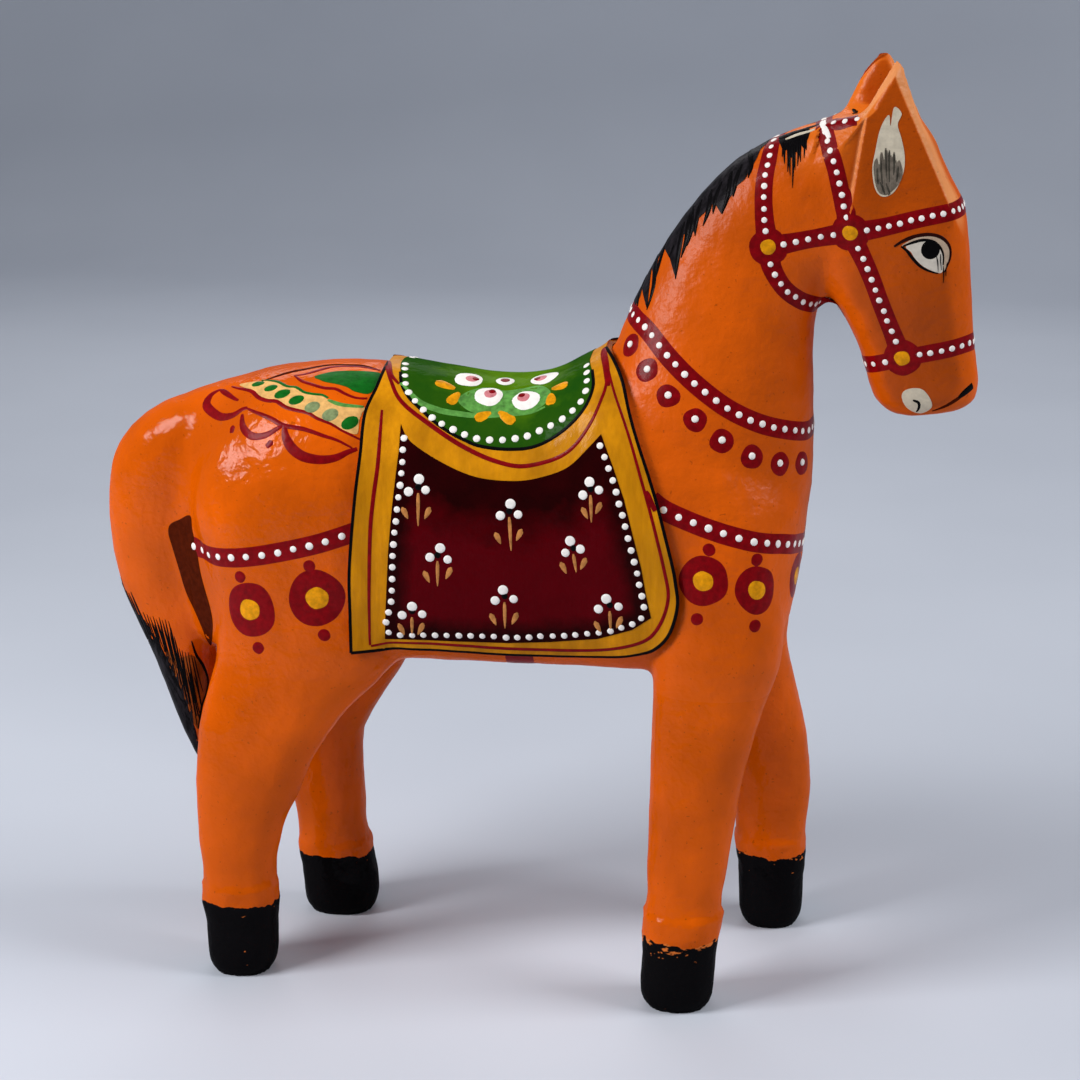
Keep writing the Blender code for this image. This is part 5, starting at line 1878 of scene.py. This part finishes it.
class HORSE_OT_face(bpy.types.Operator):
    """Paints the eyes, nostrils, mouth and the insides of the ears"""

    bl_idname = "horse.face"
    bl_label = "Face"

    def execute(self, context):
        body = Workshop.body
        pale = Relief(body)
        clear = Relief(body)
        # The eye whites are dimmed as painted shade of the head's flat side
        clear.patch(EYE_WHITE, 0.12, grain=2.5)
        clear.piece("eye_whites", "eye_white")
        pale.patch(NOSTRIL_WHITE, 0.16, grain=2.5)
        pale.patch(EAR_LEAF, 0.12, grain=3.0)
        pale.stroke(POLL_STROKE, 1.3, 0.3, taper=(0.4, 0.6))
        pale.piece("face_white", "bone")
        lid = Relief(body)
        lid.patch(EYE_LID, 0.16, grain=2.0)
        lid.piece("eye_lids", "lid")
        dark = Relief(body)
        dark.dabs(EYE_PUPIL, 3.25, 0.24, sides=28)
        lashes = Relief(body)
        lashes.stroke(EYE_TOP_LINE, 1.25, 0.24, step=0.7 * MM, taper=(0.5, 0.4))
        lashes.piece("eye_top_lines", "kohl")
        for pixels, width in ((EYE_INNER_LINE, 1.15), (EYE_LOWER_LINE, 0.95),
                              (NOSTRIL_COMMA, 1.3)):
            dark.stroke(pixels, width, 0.24, step=0.7 * MM, taper=(0.5, 0.4))
        dark.stroke(MOUTH, 2.4, 0.15, step=0.9 * MM, taper=(1.0, 0.35))
        dark.hairs(EYE_LASHES, 0.42, 0.24, taper=(0.4, 0.1), bend=0.5)
        fade = Relief(body)
        fade.stroke(MOUTH_FADE, 1.2, 0.12, step=0.9 * MM, taper=(0.8, 0.3))
        fade.piece("mouth_fade", "brown")
        dark.piece("face_black", "black")
        soot = Relief(body)
        soot.hairs(EAR_DARK_HAIRS, 0.9, 0.27, taper=(0.15, 0.3), bend=0.3)
        soot.piece("ear_soot", "soot")
        shade_strokes = Relief(body)
        shade_strokes.patch(EAR_LEAF_SHADE, 0.17, grain=3.0)
        for u, v, p, q, width in EAR_HAIRS:
            middle = ((u + p) / 2, (v + q) / 2)
            shade_strokes.stroke(((u, v), middle, (p, q)), width / 3, 0.22, step=1.2 * MM,
                                 taper=(0.15, 0.5))
        shade_strokes.piece("ear_strokes", "grey")
        return {'FINISHED'}


# The stage

def look_at(obj, target):
    obj.rotation_mode = 'QUATERNION'
    obj.rotation_quaternion = (target - obj.location).to_track_quat('-Z', 'Y')


def studio_floor():
    """A pale floor that curves up behind the horse."""
    profile = [(-1.6, 0.0), (1.3, 0.0)]
    for k in range(1, 13):
        angle = pi / 2 * k / 12
        profile.append((1.3 + 0.5 * sin(angle), 0.5 - 0.5 * cos(angle)))
    profile.append((1.8, 2.2))
    bm = bmesh.new()
    rows = [[bm.verts.new((x, y, z)) for x in (-2.6, 2.6)] for y, z in profile]
    for low, high in zip(rows, rows[1:]):
        bm.faces.new((low[0], low[1], high[1], high[0]))
    mesh = stored(bm, bpy.data.meshes.new("studio_floor"))
    mesh.shade_smooth()
    material, tree, shader = new_material("studio_grey", (0.62, 0.64, 0.68), 0.6, 0.0, 0.1)
    place = object_place(tree)
    put(tree, shader, "Base Color",
        ramp(tree, mottle(tree, place, 0.4), (0.54, 0.57, 0.64), (0.60, 0.63, 0.70), 0.3, 0.7))
    mesh.materials.append(material)
    return scratch("studio_floor", mesh)


def softbox(name, place, size, watts, tint=(1.0, 1.0, 1.0)):
    light = bpy.data.lights.new(name, 'AREA')
    light.shape = 'RECTANGLE'
    light.size, light.size_y = size
    light.energy = watts
    light.color = tint
    obj = bpy.data.objects.new(name, light)
    obj.location = place
    obj.visible_camera = False
    look_at(obj, Vector((0.0, 0.0, 0.15)))
    bpy.context.scene.collection.objects.link(obj)
    return obj


class HORSE_OT_stage(bpy.types.Operator):
    """Sets up the pale floor, the soft lights and the photograph's camera"""

    bl_idname = "horse.stage"
    bl_label = "Stage"

    def execute(self, context):
        studio_floor()
        softbox("key_softbox", Vector((-0.60, -0.43, 0.64)), (0.36, 0.36), 7.0)
        softbox("fill_softbox", Vector((1.1, -0.1, 1.1)), (0.7, 0.7), 12.0)
        softbox("rim_softbox", Vector((-0.2, 1.1, 0.9)), (0.9, 0.5), 4.0)
        world = bpy.data.worlds.new("studio_world")
        world.use_nodes = True
        world.node_tree.nodes["Background"].inputs["Color"].default_value = (0.72, 0.78, 0.88, 1.0)
        world.node_tree.nodes["Background"].inputs["Strength"].default_value = 0.24
        context.scene.world = world
        camera = bpy.data.cameras.new("photo_camera")
        camera.lens = CAMERA_LENS
        camera.sensor_width = SENSOR_WIDTH
        camera.clip_start = 0.01
        obj = bpy.data.objects.new("photo_camera", camera)
        obj.location = CAMERA_PLACE
        look_at(obj, CAMERA_TARGET)
        context.scene.collection.objects.link(obj)
        context.scene.camera = obj
        context.scene.view_settings.view_transform = 'Standard'
        return {'FINISHED'}


class HORSE_PT_panel(bpy.types.Panel):
    """Lists the horse's pieces in the sidebar"""

    bl_idname = "HORSE_PT_panel"
    bl_label = "Painted Horse"
    bl_space_type = 'VIEW_3D'
    bl_region_type = 'UI'
    bl_category = "Painted Horse"

    def draw(self, context):
        layout = self.layout
        for group in (context.scene.horse_sizes, context.scene.horse_colours):
            box = layout.box()
            for key in group.bl_rna.properties.keys():
                if key not in ("rna_type", "name"):
                    box.prop(group, key)
        for operator in STEPS:
            layout.operator(operator.bl_idname)


STEPS = (HORSE_OT_stage, HORSE_OT_blocks, HORSE_OT_dowels, HORSE_OT_saddle_cloth,
         HORSE_OT_maroon_field, HORSE_OT_seat, HORSE_OT_bands, HORSE_OT_bridle,
         HORSE_OT_rump, HORSE_OT_tail, HORSE_OT_mane, HORSE_OT_face)
CLASSES = (HorseSizes, HorseColours, *STEPS, HORSE_PT_panel)


def register():
    for cls in CLASSES:
        bpy.utils.register_class(cls)
    bpy.types.Scene.horse_sizes = PointerProperty(type=HorseSizes)
    bpy.types.Scene.horse_colours = PointerProperty(type=HorseColours)


def unregister():
    del bpy.types.Scene.horse_colours
    del bpy.types.Scene.horse_sizes
    for cls in reversed(CLASSES):
        bpy.utils.unregister_class(cls)


def main():
    register()
    for operator in STEPS:
        group, name = operator.bl_idname.split(".")
        getattr(getattr(bpy.ops, group), name)()


if __name__ == "__main__":
    main()
